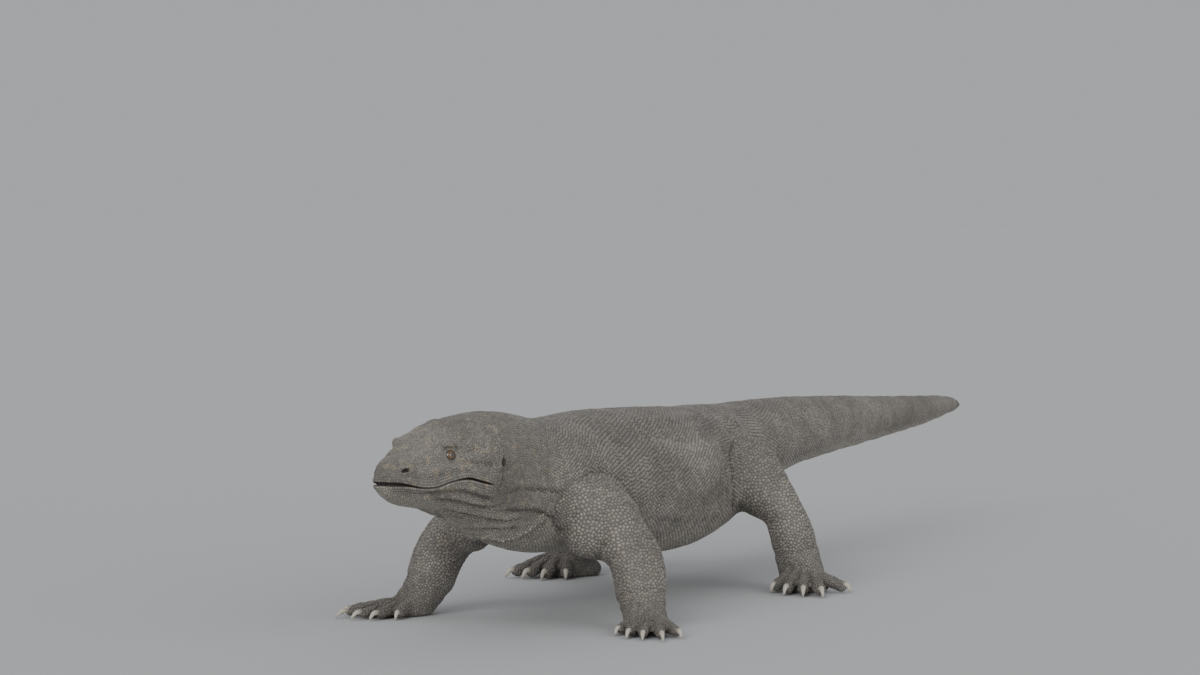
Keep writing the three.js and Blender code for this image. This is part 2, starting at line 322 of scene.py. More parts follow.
def tube_field(x, y, z, stations):
    """A round tube through stations of centre and radius."""
    field = np.inf
    for (ax, ay, az, ar), (bx, by, bz, br) in zip(stations[:-1], stations[1:], strict=True):
        dx, dy, dz = bx - ax, by - ay, bz - az
        length = dx * dx + dy * dy + dz * dz
        t = ((x - ax) * dx + (y - ay) * dy + (z - az) * dz) / length
        t = np.clip(t, 0, 1)
        gap = np.sqrt((x - ax - t * dx) ** 2 + (y - ay - t * dy) ** 2 + (z - az - t * dz) ** 2)
        field = np.minimum(field, gap - ar - t * (br - ar))
    return field


def numbered(stations):
    return np.c_[np.arange(len(stations)), stations]


def resampled(stations, steps):
    """The same stations on a smooth curve, at even steps."""
    places = np.linspace(0, len(stations) - 1, steps + 1)
    return smooth_rows(numbered(stations), places)[:, 1:]


def toe_stations(foot, toe):
    """Stations of one toe and of its claw, from the root to the point."""
    root, point, length = toe
    reach = math.dist(root, point)
    way = (np.array(point) - root) / reach

    def place(distance, z, radius):
        return (*(root + way * distance), z, radius)

    height, radius = foot["height"], foot["radius"]
    end = reach - length
    flesh = [
        place(0, height[0], radius[0]),
        place(end * 0.5, height[1], radius[1]),
        place(end * 0.85, height[2], radius[2]),
        place(end + 2 - radius[2] * 0.72, height[2], radius[2] * 0.82),
    ]
    claw = [
        place(end - CLAW["sunk"], foot["claw_height"], foot["claw_radius"]),
        place(end + length * 0.45, foot["claw_height"] * 0.85, foot["claw_radius"] * 0.82),
        place(reach, CLAW["tip_height"], CLAW["tip_radius"]),
    ]
    return np.array(flesh), np.array(claw)


def leg_field(x, y, z, leg, foot):
    """One leg with its muscles, foot and toes."""
    field = tube_field(x, y, z, resampled(leg["stations"], LEG_STEPS))
    for ball in leg["muscles"] + foot["pads"]:
        field = soft_min(field, ball_field(x, y, z, ball["at"], ball["size"]), BLEND["muscle"])
    toes = np.inf
    for toe in foot["toes"]:
        stations, _ = toe_stations(foot, toe)
        one = tube_field(x, y, z, resampled(stations, TOE_STEPS))
        toes = one if toes is np.inf else soft_min(toes, one, BLEND["toe"] / 2)
    return soft_min(field, toes, BLEND["toe"])


def leg_box(leg, foot):
    """Corners of the room in which a leg is felt."""
    stations = leg["stations"]
    low = (stations[:, :3] - stations[:, 3:]).min(axis=0)
    high = (stations[:, :3] + stations[:, 3:]).max(axis=0)
    points = np.array([toe[1] for toe in foot["toes"]], float)
    low[:2] = np.minimum(low[:2], points.min(axis=0))
    high[:2] = np.maximum(high[:2], points.max(axis=0))
    return low - LEG_REACH, high + LEG_REACH


def near_leg(p, leg, foot):
    low, high = leg_box(leg, foot)
    return np.all((p > low) & (p < high), axis=1)


def trunk_field(x, y, z):
    """The field of head, neck, trunk and tail."""
    return soft_min(body_field(x, y, z), ball_field(x, y, z, **BROW), BLEND["brow"])


def flesh_field(points):
    """The whole animal's field at points, less the coat's depth."""
    p = mirrored(points)
    x, y, z = p.T
    field = trunk_field(x, y, z)
    for leg, foot in LEGS.values():
        near = near_leg(p, leg, foot)
        limb = leg_field(x[near], y[near], z[near], leg, foot)
        field[near] = soft_min(field[near], limb, BLEND["leg"])
    return np.maximum(field, -z) + COAT


def field_slope(points, step=0.3):
    """The way out of the flesh at points, and how fast the field grows along it."""
    slopes = []
    for axis in np.eye(3) * step:
        slopes.append((flesh_field(points + axis) - flesh_field(points - axis)) / (2 * step))
    return np.stack(slopes, axis=1)


def onto_surface(points, rounds=3):
    """Moves points near the surface onto it."""
    for _ in range(rounds):
        slope = field_slope(points)
        steepness = np.maximum((slope**2).sum(axis=1), 0.05)
        step = np.clip(flesh_field(points) / steepness, -6, 6)
        points = points - slope * step[:, None]
    return points


# ------------------------------------------------------------------ the skin's mesh
def flesh_grid():
    """Values of the field on an even grid of both sides, and the grid's first corner."""
    widest = leg_box(*LEGS["hind"])[1][0]
    xs = np.arange(int(widest / CELL) + 1) * CELL
    ys = np.arange(SNOUT - 3 * CELL, TAIL_TIP + 3 * CELL, CELL)
    zs = np.arange(-2.4 * CELL, SPINE[:, 1].max() + 3 * CELL, CELL)
    x, y, z = xs[:, None, None], ys[None, :, None], zs[None, None, :]
    field = trunk_field(x, y, z)
    for leg, foot in LEGS.values():
        room = zip((xs, ys, zs), *leg_box(leg, foot), strict=True)
        i, j, k = (slice(*np.searchsorted(axis, (low, high))) for axis, low, high in room)
        near = leg_field(x[i], y[:, j], z[:, :, k], leg, foot)
        field[i, j, k] = soft_min(field[i, j, k], near, BLEND["leg"])
    field = np.maximum(field, -z) + COAT
    both = np.concatenate([field[:0:-1], field])
    return both, np.array([-xs[-1], ys[0], zs[0]])


def crossed_cells(inside):
    """The cells with corners both inside and outside."""
    cells = tuple(n - 1 for n in inside.shape)
    count = np.zeros(cells, int)
    for i, j, k in np.ndindex(2, 2, 2):
        count += inside[i : i + cells[0], j : j + cells[1], k : k + cells[2]]
    return np.argwhere((count > 0) & (count < 8))


def net_points(values, crossed):
    """One point in each crossed cell, in the middle of where its edges cross the surface."""
    total = np.zeros((len(crossed), 3))
    hits = np.zeros(len(crossed))
    for a in np.ndindex(2, 2, 2):
        for way in np.eye(3, dtype=int):
            if way @ a:
                continue
            value_a = values[tuple((crossed + a).T)]
            value_b = values[tuple((crossed + a + way).T)]
            hit = (value_a < 0) != (value_b < 0)
            share = value_a / np.where(hit, value_a - value_b, 1)
            total += np.where(hit[:, None], a + share[:, None] * way, 0)
            hits += hit
    return crossed + total / hits[:, None]


def surface_net(values, origin):
    """Points and quads of the zero surface: one point in each cell that it crosses."""
    inside = values < 0
    crossed = crossed_cells(inside)
    number = np.full(values.shape, -1)
    number[tuple(crossed.T)] = np.arange(len(crossed))
    quads = []
    for axis in range(3):
        a, b = (axis + 1) % 3, (axis + 2) % 3
        edges = np.argwhere(inside != np.roll(inside, -1, axis))
        within = np.all(edges < np.array(inside.shape) - 1, axis=1)
        edges = edges[within & (edges[:, a] > 0) & (edges[:, b] > 0)]
        leaving = inside[tuple(edges.T)]
        one, two = np.eye(3, dtype=int)[[a, b]]
        ring = (edges - one - two, edges - two, edges, edges - one)
        quad = np.stack([number[tuple(corner.T)] for corner in ring], axis=1)
        quads.append(np.where(leaving[:, None], quad, quad[:, ::-1]))
    return origin + CELL * net_points(values, crossed), np.concatenate(quads)


def split_edges(points, faces, wanted):
    """Splits every edge whose middle is wanted, and puts the points back on the surface."""
    grid = bmesh.new()
    for point in points:
        grid.verts.new(point)
    grid.verts.ensure_lookup_table()
    for face in faces:
        grid.faces.new([grid.verts[i] for i in face])
    edges = list(grid.edges)
    ends = np.array([(*edge.verts[0].co, *edge.verts[1].co) for edge in edges])
    picked = wanted((ends[:, :3] + ends[:, 3:]) / 2)
    chosen = [edge for edge, pick in zip(edges, picked, strict=True) if pick]
    bmesh.ops.subdivide_edges(grid, edges=chosen, cuts=1, use_grid_fill=True)
    large = [face for face in grid.faces if len(face.verts) > 4]
    bmesh.ops.triangulate(grid, faces=large)
    grid.verts.index_update()
    points = np.array([vert.co[:] for vert in grid.verts])
    faces = [[vert.index for vert in face.verts] for face in grid.faces]
    grid.free()
    return onto_surface(points), faces


def fine(points):
    """Where the mesh is split once: head, neck, feet and folds."""
    p = mirrored(points)
    feet = p[:, 2] < 62
    in_fold = np.abs(fold_relief(p)) > 0.7
    return (p[:, 1] < -350) | feet | in_fold


def near_openings(p, height, beyond, rim):
    """Within a height of the mouth's line and somewhat beyond its corner, or near a nostril or ear."""
    near_line = (np.abs(mouth_gap(p)[0]) < height) & (p[:, 1] < MOUTH_CORNER + beyond)
    return near_line | np.any([pit_distance(p, pit) < rim for pit in PITS.values()], axis=0)


def finer(points):
    """Where it is split twice: mouth, eyes, nostrils and ears."""
    p = mirrored(points)
    return near_openings(p, 11, 8, 2.6) | (np.linalg.norm(p - EYE, axis=1) < 25)


def finest(points):
    """Where it is split three times: the rims of the same openings."""
    p = mirrored(points)
    return near_openings(p, 4.5, 4, 1.7) | (np.abs(lid_place(p) - 1.15) < 0.55)


def skin_form():
    """Points and faces of the bare skin, with every fold in it."""
    values, origin = flesh_grid()
    points, faces = surface_net(values, origin)
    points = onto_surface(points)
    for wanted in (fine, finer, finest):
        points, faces = split_edges(points, faces, wanted)
    return folded(points), faces


# ------------------------------------------------------------------ relief
# Folds (negative) and ridges (positive) of the left side: height, width, height of the lip above the
# fold, and the places passed.
FOLDS = {
    "canthus": (2.1, 5.5, 0, [(26, -757, 322), (34, -722, 334), (40, -690, 345)]),
    "brow": (2.0, 5, 0, [(37, -679, 345), (46, -660, 347), (53, -640, 345), (60, -622, 341)]),
    "under brow": (-4.8, 4.8, 0, [
        (51, -672, 337), (58, -648, 336), (63, -628, 333), (70, -604, 330), (76, -584, 330),
    ]),
    "in front of eye": (-2.8, 9, 0, [(38, -738, 312), (46, -705, 316), (52, -680, 319)]),
    "below eye": (3.0, 7.2, 0, [(45, -705, 299), (56, -668, 304), (66, -632, 306), (77, -595, 302)]),
    "cheek": (-4.4, 6.4, 0, [(62, -640, 312), (74, -610, 309), (84, -578, 304), (91, -548, 300)]),
    "upper lip": (-1.2, 2.6, 0, [(27, -764, 299), (42, -722, 292), (58, -650, 298), (76, -598, 294)]),
    "lower lip": (-1.2, 2.6, 0, [(24, -764, 273), (40, -722, 264), (53, -660, 270), (74, -595, 265)]),
    "skull edge": (2.6, 4, 0, [
        (24, -556, 377), (37, -546, 374), (49, -542, 370), (60, -542, 363), (75, -542, 347),
        (85, -537, 326), (90, -539, 303),
    ]),
    "behind skull": (-3, 5.5, 0, [
        (24, -544, 378), (50, -530, 371), (62, -529, 363), (78, -529, 347), (87, -525, 325),
    ]),
    "behind jaw": (-6, 4.4, 1.5, [
        (87, -524, 330), (91, -533, 309), (92, -537, 296), (91, -540, 283), (90, -546, 268),
        (83, -553, 253),
    ]),
    "jowl 1": (-5.6, 5, 3, [
        (38, -718, 264), (45, -700, 264), (54, -660, 263), (62, -632, 262), (68, -609, 257),
        (75, -578, 249), (79, -549, 240),
    ]),
    "jowl 2": (-6.4, 5.5, 3.8, [
        (36, -690, 252), (42, -668, 251), (50, -618, 244), (61, -570, 233), (73, -532, 231),
        (83, -503, 237),
    ]),
    "jowl 3": (-8, 6.6, 4.2, [
        (17, -620, 231), (32, -580, 223), (43, -537, 211), (51, -502, 201), (66, -456, 197),
        (80, -434, 205),
    ]),
    "neck shelf": (-4.2, 5.6, 3.2, [
        (84, -524, 246), (87, -498, 250), (91, -477, 254), (94, -443, 251), (101, -399, 246),
        (106, -368, 241), (116, -341, 243),
    ]),
    "mid neck": (-5, 6, 3.2, [
        (66, -512, 214), (74, -485, 218), (79, -456, 215), (85, -424, 213), (92, -383, 202),
        (94, -345, 185),
    ]),
    "throat": (-5, 5.5, 2, [(0, -602, 221), (14, -575, 214), (24, -545, 203), (38, -510, 194)]),
    "throat front": (-2.0, 5, 0, [(0, -640, 230), (14, -632, 232), (30, -622, 238)]),
    "gular recess": (-9.5, 8, 0, [
        (0, -492, 182), (24, -480, 182), (38, -461, 180), (50, -443, 181), (60, -425, 182),
    ]),
    "above gular": (3, 6, 0, [
        (0, -515, 196), (33, -503, 193), (49, -493, 197), (57, -468, 194), (58, -445, 188),
    ]),
    "gular": (7.4, 5, 0, [
        (0, -463, 167), (17, -455, 169), (26, -427, 163), (41, -419, 165), (52, -413, 169), (61, -408, 175),
        (75, -398, 185), (86, -389, 197), (95, -380, 209), (101, -372, 222),
    ]),
    "behind gular": (-7, 6.6, 0, [
        (0, -436, 160), (24, -412, 158), (50, -394, 166), (70, -384, 178), (86, -372, 192),
    ]),
    "collar": (-2.8, 6, 0, [(0, -372, 141), (40, -366, 150), (70, -350, 168)]),
    "shoulder front": (-7.8, 8.8, 0, [
        (120, -341, 243), (107, -351, 228), (100, -358, 207), (90, -342, 177), (82, -305, 157),
    ]),
    "above arm": (-4.4, 6, 0, [
        (109, -348, 245), (118, -312, 258), (122, -270, 268), (127, -231, 268), (133, -193, 254),
        (136, -168, 238), (140, -136, 214),
    ]),
    "armpit": (-5.0, 8, 0, [(150, -212, 250), (160, -190, 215), (152, -174, 170)]),
    "back valley": (-8.5, 20, 0, [
        (98, -110, 326), (104, -46, 322), (113, 16, 314), (122, 98, 303), (120, 172, 301), (104, 267, 309),
        (92, 310, 312),
    ]),
    "back edge": (3, 13, 0, [
        (70, -60, 342), (80, 100, 338), (79, 171, 334), (63, 265, 334), (57, 331, 332),
    ]),
    "flank 1": (-2.2, 15, 1.2, [
        (146, -110, 200), (154, -20, 188), (158, 90, 180), (156, 190, 186), (150, 240, 200),
    ]),
    "flank 2": (-2.4, 12, 1, [
        (130, -90, 168), (136, -30, 158), (137, 52, 147), (137, 136, 141), (139, 207, 149),
    ]),
    "elbow": (-4.5, 6, 0, [(131, -270, 115), (152, -295, 132), (167, -300, 153)]),
    "groin": (-8, 7, 0, [
        (108, 372, 288), (116, 344, 283), (134, 288, 267), (142, 261, 250), (151, 251, 223),
        (151, 255, 198), (147, 266, 174), (137, 290, 155), (120, 310, 140),
    ]),
    "groin 2": (-3.2, 8, 0, [(138, 244, 285), (151, 222, 245), (154, 216, 200), (146, 226, 165)]),
    "above thigh": (-3.2, 9, 0, [(98, 424, 300), (106, 380, 306), (116, 330, 303)]),
    "behind thigh": (-4.0, 9, 0, [(84, 474, 282), (100, 458, 242), (96, 440, 196)]),
    "vent": (-2.2, 6, 0, [(0, 486, 118), (30, 482, 124), (58, 474, 142)]),
    "back of knee": (-3.0, 6, 0, [(196, 398, 150), (214, 396, 126), (236, 392, 112)]),
}

# Swellings (positive) and hollows of the left side: height, width, and place.
SWELLINGS = [
    (-6.5, 26, (216, -278, 150)),  # front of the forearm
    (-6.5, 24, (231, -286, 108)),
    (-5.5, 22, (240, -287, 70)),
    (-2.2, 14, (0, -778, 292)),  # tip of the snout
    (-0.6, 60, (0, -500, 384)),  # nape
    (1.6, 12, (26, -756, 314)),  # nostril
    (2.6, 20, (82, -588, 318)),  # temple
    (-2.4, 12, (84, -556, 322)),
    (3.0, 24, (88, -566, 276)),  # muscle of the jaw
    (-2.4, 20, (0, -690, 342)),  # between the brows
    (4.0, 30, (160, -332, 200)),  # upper arm
    (-3.0, 20, (184, -270, 172)),
    (3.0, 20, (226, -292, 108)),  # forearm
    (-2.4, 12, (206, -305, 78)),
    (7.0, 24, (84, 388, 310)),  # hip
    (-4.0, 22, (108, 330, 296)),
    (4.0, 38, (160, 392, 226)),  # thigh
    (-3.0, 20, (196, 330, 196)),
    (4.0, 20, (220, 298, 158)),  # knee
    (3.0, 22, (240, 380, 106)),  # calf
]
CUFFS = {"fore": 5.9, "hind": 5.5}  # stations of the fold above each foot

# Wrinkles across the body: depth, distance apart, sharpness, how much they wander, and over what
# height they lean forward by one wrinkle.
WRINKLES = {
    "neck": (0.9, 23, 3, 1.9, 150),
    "throat": (0.9, 15, 2, 1.1, math.inf),
    "flank": (0.9, 41, 3, 1.7, 200),
    "belly": (0.5, 13, 1.5, 0, math.inf),
    "tail": (0.6, 24, 3, 0.6, math.inf),
}

# Openings of the left side: centre, half length and half width, the way it is long, and depth.
PITS = {
    "nostril": {"at": (30, -751, 308.5), "size": (9, 3.6), "way": (0.2, 0.9, 0.1), "depth": 6.5},
    "ear": {"at": (89, -529, 306), "size": (8, 4.2), "way": (0, 0.2, 0.98), "depth": 7},
}


def surface_line(places, step=5):
    """A smooth line over the skin, through places on it."""
    places = np.asarray(places, float)
    steps = int(np.linalg.norm(np.diff(places, axis=0), axis=1).sum() / step) + 2
    return onto_surface(resampled(places, steps))


def toe_gaps():
    """Lines between neighbouring toes, from the instep to the web."""
    for _, foot in LEGS.values():
        lines = [toe_stations(foot, toe)[0][:, :3] for toe in foot["toes"]]
        for one, two in zip(lines[:-1], lines[1:], strict=True):
            middle = (one + two) / 2
            starts, ends = middle[0] * 1.3 - middle[1] * 0.3, middle[2] * 0.75 + middle[1] * 0.25
            yield [(*starts[:2], 56), (*middle[0][:2], 44), (*middle[1][:2], 30), (*ends[:2], 14)]


FOLD_LINES = [(*fold[:3], surface_line(fold[3])) for fold in FOLDS.values()]
FOLD_LINES += [(-4.5, 4.8, 0, surface_line(places)) for places in toe_gaps()]


def fold_relief(p):
    """How far folds and ridges move points of the left side."""
    height = np.zeros(len(p))
    for amount, width, lip, line in FOLD_LINES:
        room = 3 * width
        low, high = line.min(axis=0) - room, line.max(axis=0) + room
        near = np.all((p > low) & (p < high), axis=1)
        distance, place = to_polyline(p[near], line)
        # A line that starts at the middle of back or throat goes on into its mirror image.
        start = 0.0 if line[0, 0] < 9 else 0.16
        fade = ramp(place, -0.01, start) * ramp(place, 1, 0.84)
        steps = np.linspace(0, 1, len(line))
        above = p[near, 2] > np.interp(place, steps, line[:, 2])
        shape = amount * bell(distance, width) + lip * above * bell(distance - 1.7 * width, width)
        height[near] += shape * fade
    return height


def furrows(phase, sharp):
    """Narrow grooves, 0 between and 1 in the middle of each, one for each whole number of phase."""
    return (0.5 + 0.5 * np.cos(2 * math.pi * phase)) ** sharp


def limb_place(p, leg):
    """Distance of points from a leg's axis, and how far down it they lie, in stations."""
    axis = resampled(leg["stations"], LEG_STEPS)[:, :3]
    distance, share = to_polyline(p, axis)
    return distance, share * (len(leg["stations"]) - 1)


def wrinkles(p, way):
    """Fine folds of loose skin, as a height at each point of the left side."""
    y, z, up = p[:, 1], p[:, 2], way[:, 2]
    where = {
        "neck": ramp(y, -560, -505) * ramp(y, -280, -350) * ramp(z, 372, 330),
        "throat": ramp(y, -620, -560) * ramp(y, -380, -430) * ramp(up, -0.2, -0.8),
        "flank": ramp(y, -240, -170) * ramp(y, 400, 330) * ramp(np.abs(up), 0.85, 0.5),
        "belly": ramp(y, -330, -240) * ramp(y, 470, 400) * ramp(up, -0.5, -0.9),
        "tail": ramp(y, 470, 620) * ramp(y, 1500, 1000),
    }
    drift = noise(p, 70, 3)
    height = np.zeros(len(p))
    for name, (depth, apart, sharp, wander, lean) in WRINKLES.items():
        height -= depth * where[name] * furrows(y / apart + wander * drift + z / lean, sharp)
    return height


def leg_wrinkles(p, way):
    """Creases across wrists, ankles and toes, as a height at each point of the left side."""
    height = np.zeros(len(p))
    for name, (leg, foot) in LEGS.items():
        near = near_leg(p, leg, foot) & (p[:, 0] > 60)
        q = p[near]
        _, place = limb_place(q, leg)
        creased = ramp(place, 2.2, 3.2) * ramp(q[:, 2], 22, 46)
        height[near] -= 0.7 * creased * furrows(place * 2.4 + 0.9 * noise(q, 45, 5), 3)
        cuff = place + 0.1 * noise(q, 30, 6) - CUFFS[name]
        height[near] += ramp(q[:, 2], 14, 28) * (0.9 * bell(cuff + 0.3, 0.16) - 2.0 * bell(cuff, 0.13))
        for toe in foot["toes"]:
            stations, _ = toe_stations(foot, toe)
            axis = stations[:, :3]
            distance, share = to_polyline(q, axis)
            length = np.linalg.norm(axis[-1] - axis[0])
            on_toe = ramp(distance, 24, 15) * ramp(share, 0.2, 0.45) * ramp(share, 1.0, 0.93)
            knuckles = furrows(share * length / 21 + 0.4, 1) - 0.4
            lines = furrows(share * length / 7, 3)
            upper = ramp(way[near, 2], -0.3, 0.4)
            height[near] += on_toe * (1.3 * knuckles * upper - 0.55 * lines)
    return height


def soft_forms(p, way):
    """Muscles, spine and the crest of the tail, as a height at each point of the left side."""
    x, y, _ = p.T
    height = np.zeros(len(p))
    for amount, width, place in SWELLINGS:
        height += amount * bell(np.linalg.norm(p - place, axis=1), width)
    above = ramp(way[:, 2], 0.5, 0.9)
    trunk = above * ramp(y, -560, -420) * ramp(y, 620, 480)
    height += trunk * (1.2 * bell(x - 34, 18) - 1.0 * bell(x, 12))
    crest = above * ramp(y, 540, 760)
    height += 1.3 * crest * bell(x, 5)
    height += 1.0 * noise(p, 42, 11) + 0.7 * noise(p, 17, 12)
    return height


def mouth_gap(p):
    """Height of points above the line of the mouth, and half its opening there."""
    line = smooth_rows(MOUTH, p[:, 1])
    return p[:, 2] - line[:, 1], line[:, 2] / 2


def mouth_relief(p):
    """The slit of the mouth and the lips beside it: how far points go in, and how far out."""
    above, half = mouth_gap(p)
    there = ramp(p[:, 1], MOUTH_CORNER + 3, MOUTH_CORNER - 14)
    slit = there * np.minimum(6.5, 1.6 + 6 * half) * ramp(np.abs(above), half + 0.8, half)
    upper = 1.3 * bell(above - half - 4.0, 3.6)
    lower = 1.5 * bell(above + half + 3.6, 3.4)
    return slit, there * (upper + lower)


def pit_frame(pit):
    """The way out of the skin at an opening, and its long and short way."""
    out = unit(field_slope(np.array([pit["at"]], float)))[0]
    long = np.array(pit["way"], float)
    long = unit(long - out * (long @ out))
    return out, long, np.cross(out, long)


for opening in PITS.values():
    opening["frame"] = pit_frame(opening)


def pit_distance(p, pit):
    """1 on the rim of an opening, less inside."""
    out, long, across = pit["frame"]
    v = p - pit["at"]
    place = np.hypot(v @ long / pit["size"][0], v @ across / pit["size"][1])
    return np.where(np.abs(v @ out) < 16, place, 99)


def eye_frame():
    """The way the left eye looks, the way back along its lids, and the way up across them."""
    ahead = unit(EYE_AXIS)
    back = unit(np.cross(UP, ahead))
    return ahead, back, np.cross(ahead, back)


EYE_FRAME = eye_frame()


def lid_place(p):
    """1 on the edge of the left eye's lids, less over the eye, and 99 far away."""
    ahead, back, up = EYE_FRAME
    v = p - EYE
    r = np.maximum(np.linalg.norm(v, axis=1), 1e-6)
    scale = np.maximum(LID["radius"] / r, 1)
    place = np.hypot(v @ back * scale / LID["width"], v @ up * scale / LID["height"])
    return np.where((v @ ahead > 0) & (r < 30), place, 99)


def shape_lids(p):
    """Draws the skin round the left eye up over the eyeball, with creases in the lids."""
    v = p - EYE
    r = np.linalg.norm(v, axis=1, keepdims=True)
    place = lid_place(p)[:, None]
    lid = LID["radius"] + 0.5 * bell(place - 1.2, 0.14)
    raised = -soft_min(-r, -lid, 2.4)
    for crease, width in LID_CREASES:
        raised -= 0.9 * bell(place - crease, width)
    over = LID["under"] + (raised - LID["under"]) * ramp(place, 0.94, 1.06)
    return EYE + v / r * np.where(place < 1.06, over, raised)


def folded(points):
    """Points on the surface, moved to give the skin its folds, lips, lids and openings."""
    way = unit(field_slope(points))
    side = side_of(points)
    p, way = points * side, way * side
    height = fold_relief(p) + wrinkles(p, way) + leg_wrinkles(p, way) + soft_forms(p, way)
    slit, lips = mouth_relief(p)
    for pit in PITS.values():
        place = pit_distance(p, pit)
        height -= pit["depth"] * ramp(place, 1.12, 0.55)
        height += 0.9 * bell(place - 1.5, 0.35)
    height = height * ramp(p[:, 2], 0.5, 8)
    inwards = unit(p * (-1, 0, 0) + (0, 10, 0))
    p = p + way * (height + lips)[:, None] + inwards * slit[:, None]
    p = np.where((lid_place(p) < 2.6)[:, None], shape_lids(p), p)
    p[:, 2] = np.maximum(p[:, 2], COAT * 0.4)
    return p * side


# ------------------------------------------------------------------ pieces
def to_frame(points):
    return (np.asarray(points) + (0, SHIFT, 0)) * MM


def give_values(mesh, name, values):
    layer = mesh.attributes.new(name=name, type="FLOAT", domain="POINT")
    layer.data.foreach_set("value", np.ascontiguousarray(values, dtype=np.float32))


def new_mesh(name, points, faces, values):
    """A mesh of points in millimetres, with the named values at its points."""
    mesh = bpy.data.meshes.new(name)
    mesh.from_pydata(to_frame(points).tolist(), [], faces)
    for key, numbers in values.items():
        give_values(mesh, key, numbers)
    return mesh


def ring_faces(rings, sides, turned):
    """Faces over one point, rings of points and one last point, the other way out if turned."""
    last = 1 + rings * sides
    faces = []
    for n in range(sides):
        m = (n + 1) % sides
        faces.append((0, 1 + n, 1 + m))
        faces.append((last, last - sides + m, last - sides + n))
        for a in range(1, last - sides, sides):
            faces.append((a + n, a + sides + n, a + sides + m, a + m))
    return [face[::-1] for face in faces] if turned else faces


def add_object(name, mesh, material, replaced=()):
    """A piece of the animal, with one material and the solids that it replaces."""
    piece = bpy.data.objects.new(name, mesh)
    bpy.context.collection.objects.link(piece)
    mesh.materials.append(material)
    mesh.polygons.foreach_set("use_smooth", np.ones(len(mesh.polygons), bool))
    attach(piece, "root")
    if replaced:
        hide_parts(*replaced)
    return piece


# ------------------------------------------------------------------ scales
# Distance between neighbouring scales: along the body by place, and down the legs by height.
BODY_SCALES = np.array(
    [(-778, 3.2), (-700, 3.6), (-600, 3.9), (-505, 4.1), (-430, 5.0), (-330, 6.4), (-200, 7.5), (450, 7.5),
     (800, 6.7), (1100, 5.7), (1400, 4.7), (1650, 3.8), (1823, 3.0)]
)
LEG_SCALES = np.array([(0, 4.3), (30, 4.2), (60, 4.7), (110, 5.5), (170, 5.9)])
RINGS_START = -498  # scales lie in rings behind this and are scattered in front of it
# Rows of plates on the lips: above or below the mouth, distance from its edge, and the plates' size.
LIP_PLATES = ((1, 2.7, 4.6), (1, 7.0, 4.3), (-1, 3.2, 4.3), (-1, 7.4, 4.1))
LIP_REACH = {"upper": 9.6, "lower": 9.8}  # how far from the mouth's edge they reach
# Rings of scales round an eye: place, where 1 is the edge of the lids, and the scales' size.
LID_SCALES = ((1.17, 1.9), (1.41, 2.2), (1.69, 2.6), (2.03, 3.1))
LID_SCALES_END = 2.28
TOE_REACH = 34  # as near as this to a toe's middle, scales point along the toe
ROW = math.sqrt(3) / 2  # distance of rows in a honeycomb
STRAY = 0.24  # how far a scale of a ring strays from its even place, as a share of its size
TRIES = 7  # places tried for each scattered scale
CLOSEST = 0.86  # nearest start of scattered scales to each other, as a share of their size
FARTHEST = 0.78  # how far a scale may reach from its middle, as a share of its size
ROUNDS = 3  # in which crowded scales push each other apart
PUSH = 0.35  # and how much of what they lack they gain in each
SINK = 0.35  # how far a scale's foot lies in the skin
MOST_SCALES = 9400  # in one piece
HEAD_END, NECK_END, TAIL_START = -505, -330, 450  # where the scales' pieces part
PATCH = 0.003  # size of a scale's own patch on the unwrapped skin


def leg_share(p):
    """How much nearer points of the left side are to a leg than to the body, and to which leg: 0 stands
    for the body, 1 for the foreleg and 2 for the hind leg."""
    x, y, z = p.T
    body = body_field(x, y, z)
    best = np.full(len(p), -99.0)
    which = np.zeros(len(p), int)
    for number, (leg, foot) in enumerate(LEGS.values()):
        near = np.flatnonzero(near_leg(p, leg, foot))
        nearer = body[near] - leg_field(x[near], y[near], z[near], leg, foot)
        better = nearer > best[near]
        best[near[better]] = nearer[better]
        which[near[better]] = number + 1
    return best, np.where(best > 0, which, 0)


def scale_size(p):
    """Distance between scales at points of the left side."""
    _, which = leg_share(p)
    body = np.interp(p[:, 1], *BODY_SCALES.T)
    return np.where(which > 0, np.interp(p[:, 2], *LEG_SCALES.T), body)


def lie_of(p):
    """The way scales point on the left side: back along the body, and down legs and toes."""
    _, which = leg_share(p)
    way = np.tile((0.0, 1.0, 0.0), (len(p), 1))
    for number, (leg, foot) in enumerate(LEGS.values()):
        on_leg = which == number + 1
        q = p[on_leg]
        _, place = limb_place(q, leg)
        axis = numbered(leg["stations"])
        below = smooth_rows(axis, np.minimum(place + 0.2, len(axis) - 1))[:, 1:4]
        above = smooth_rows(axis, np.maximum(place - 0.2, 0))[:, 1:4]
        down = unit(below - above)
        nearest = np.full(len(q), float(TOE_REACH))
        for toe in foot["toes"]:
            line = toe_stations(foot, toe)[0][:, :3]
            distance, share = to_polyline(q, line)
            distance = distance + 30 * ramp(share, 0.15, 0)
            closer = distance < nearest
            nearest = np.where(closer, distance, nearest)
            down = np.where(closer[:, None], unit(line[-1] - line[0]), down)
        way[on_leg] = down
    return way


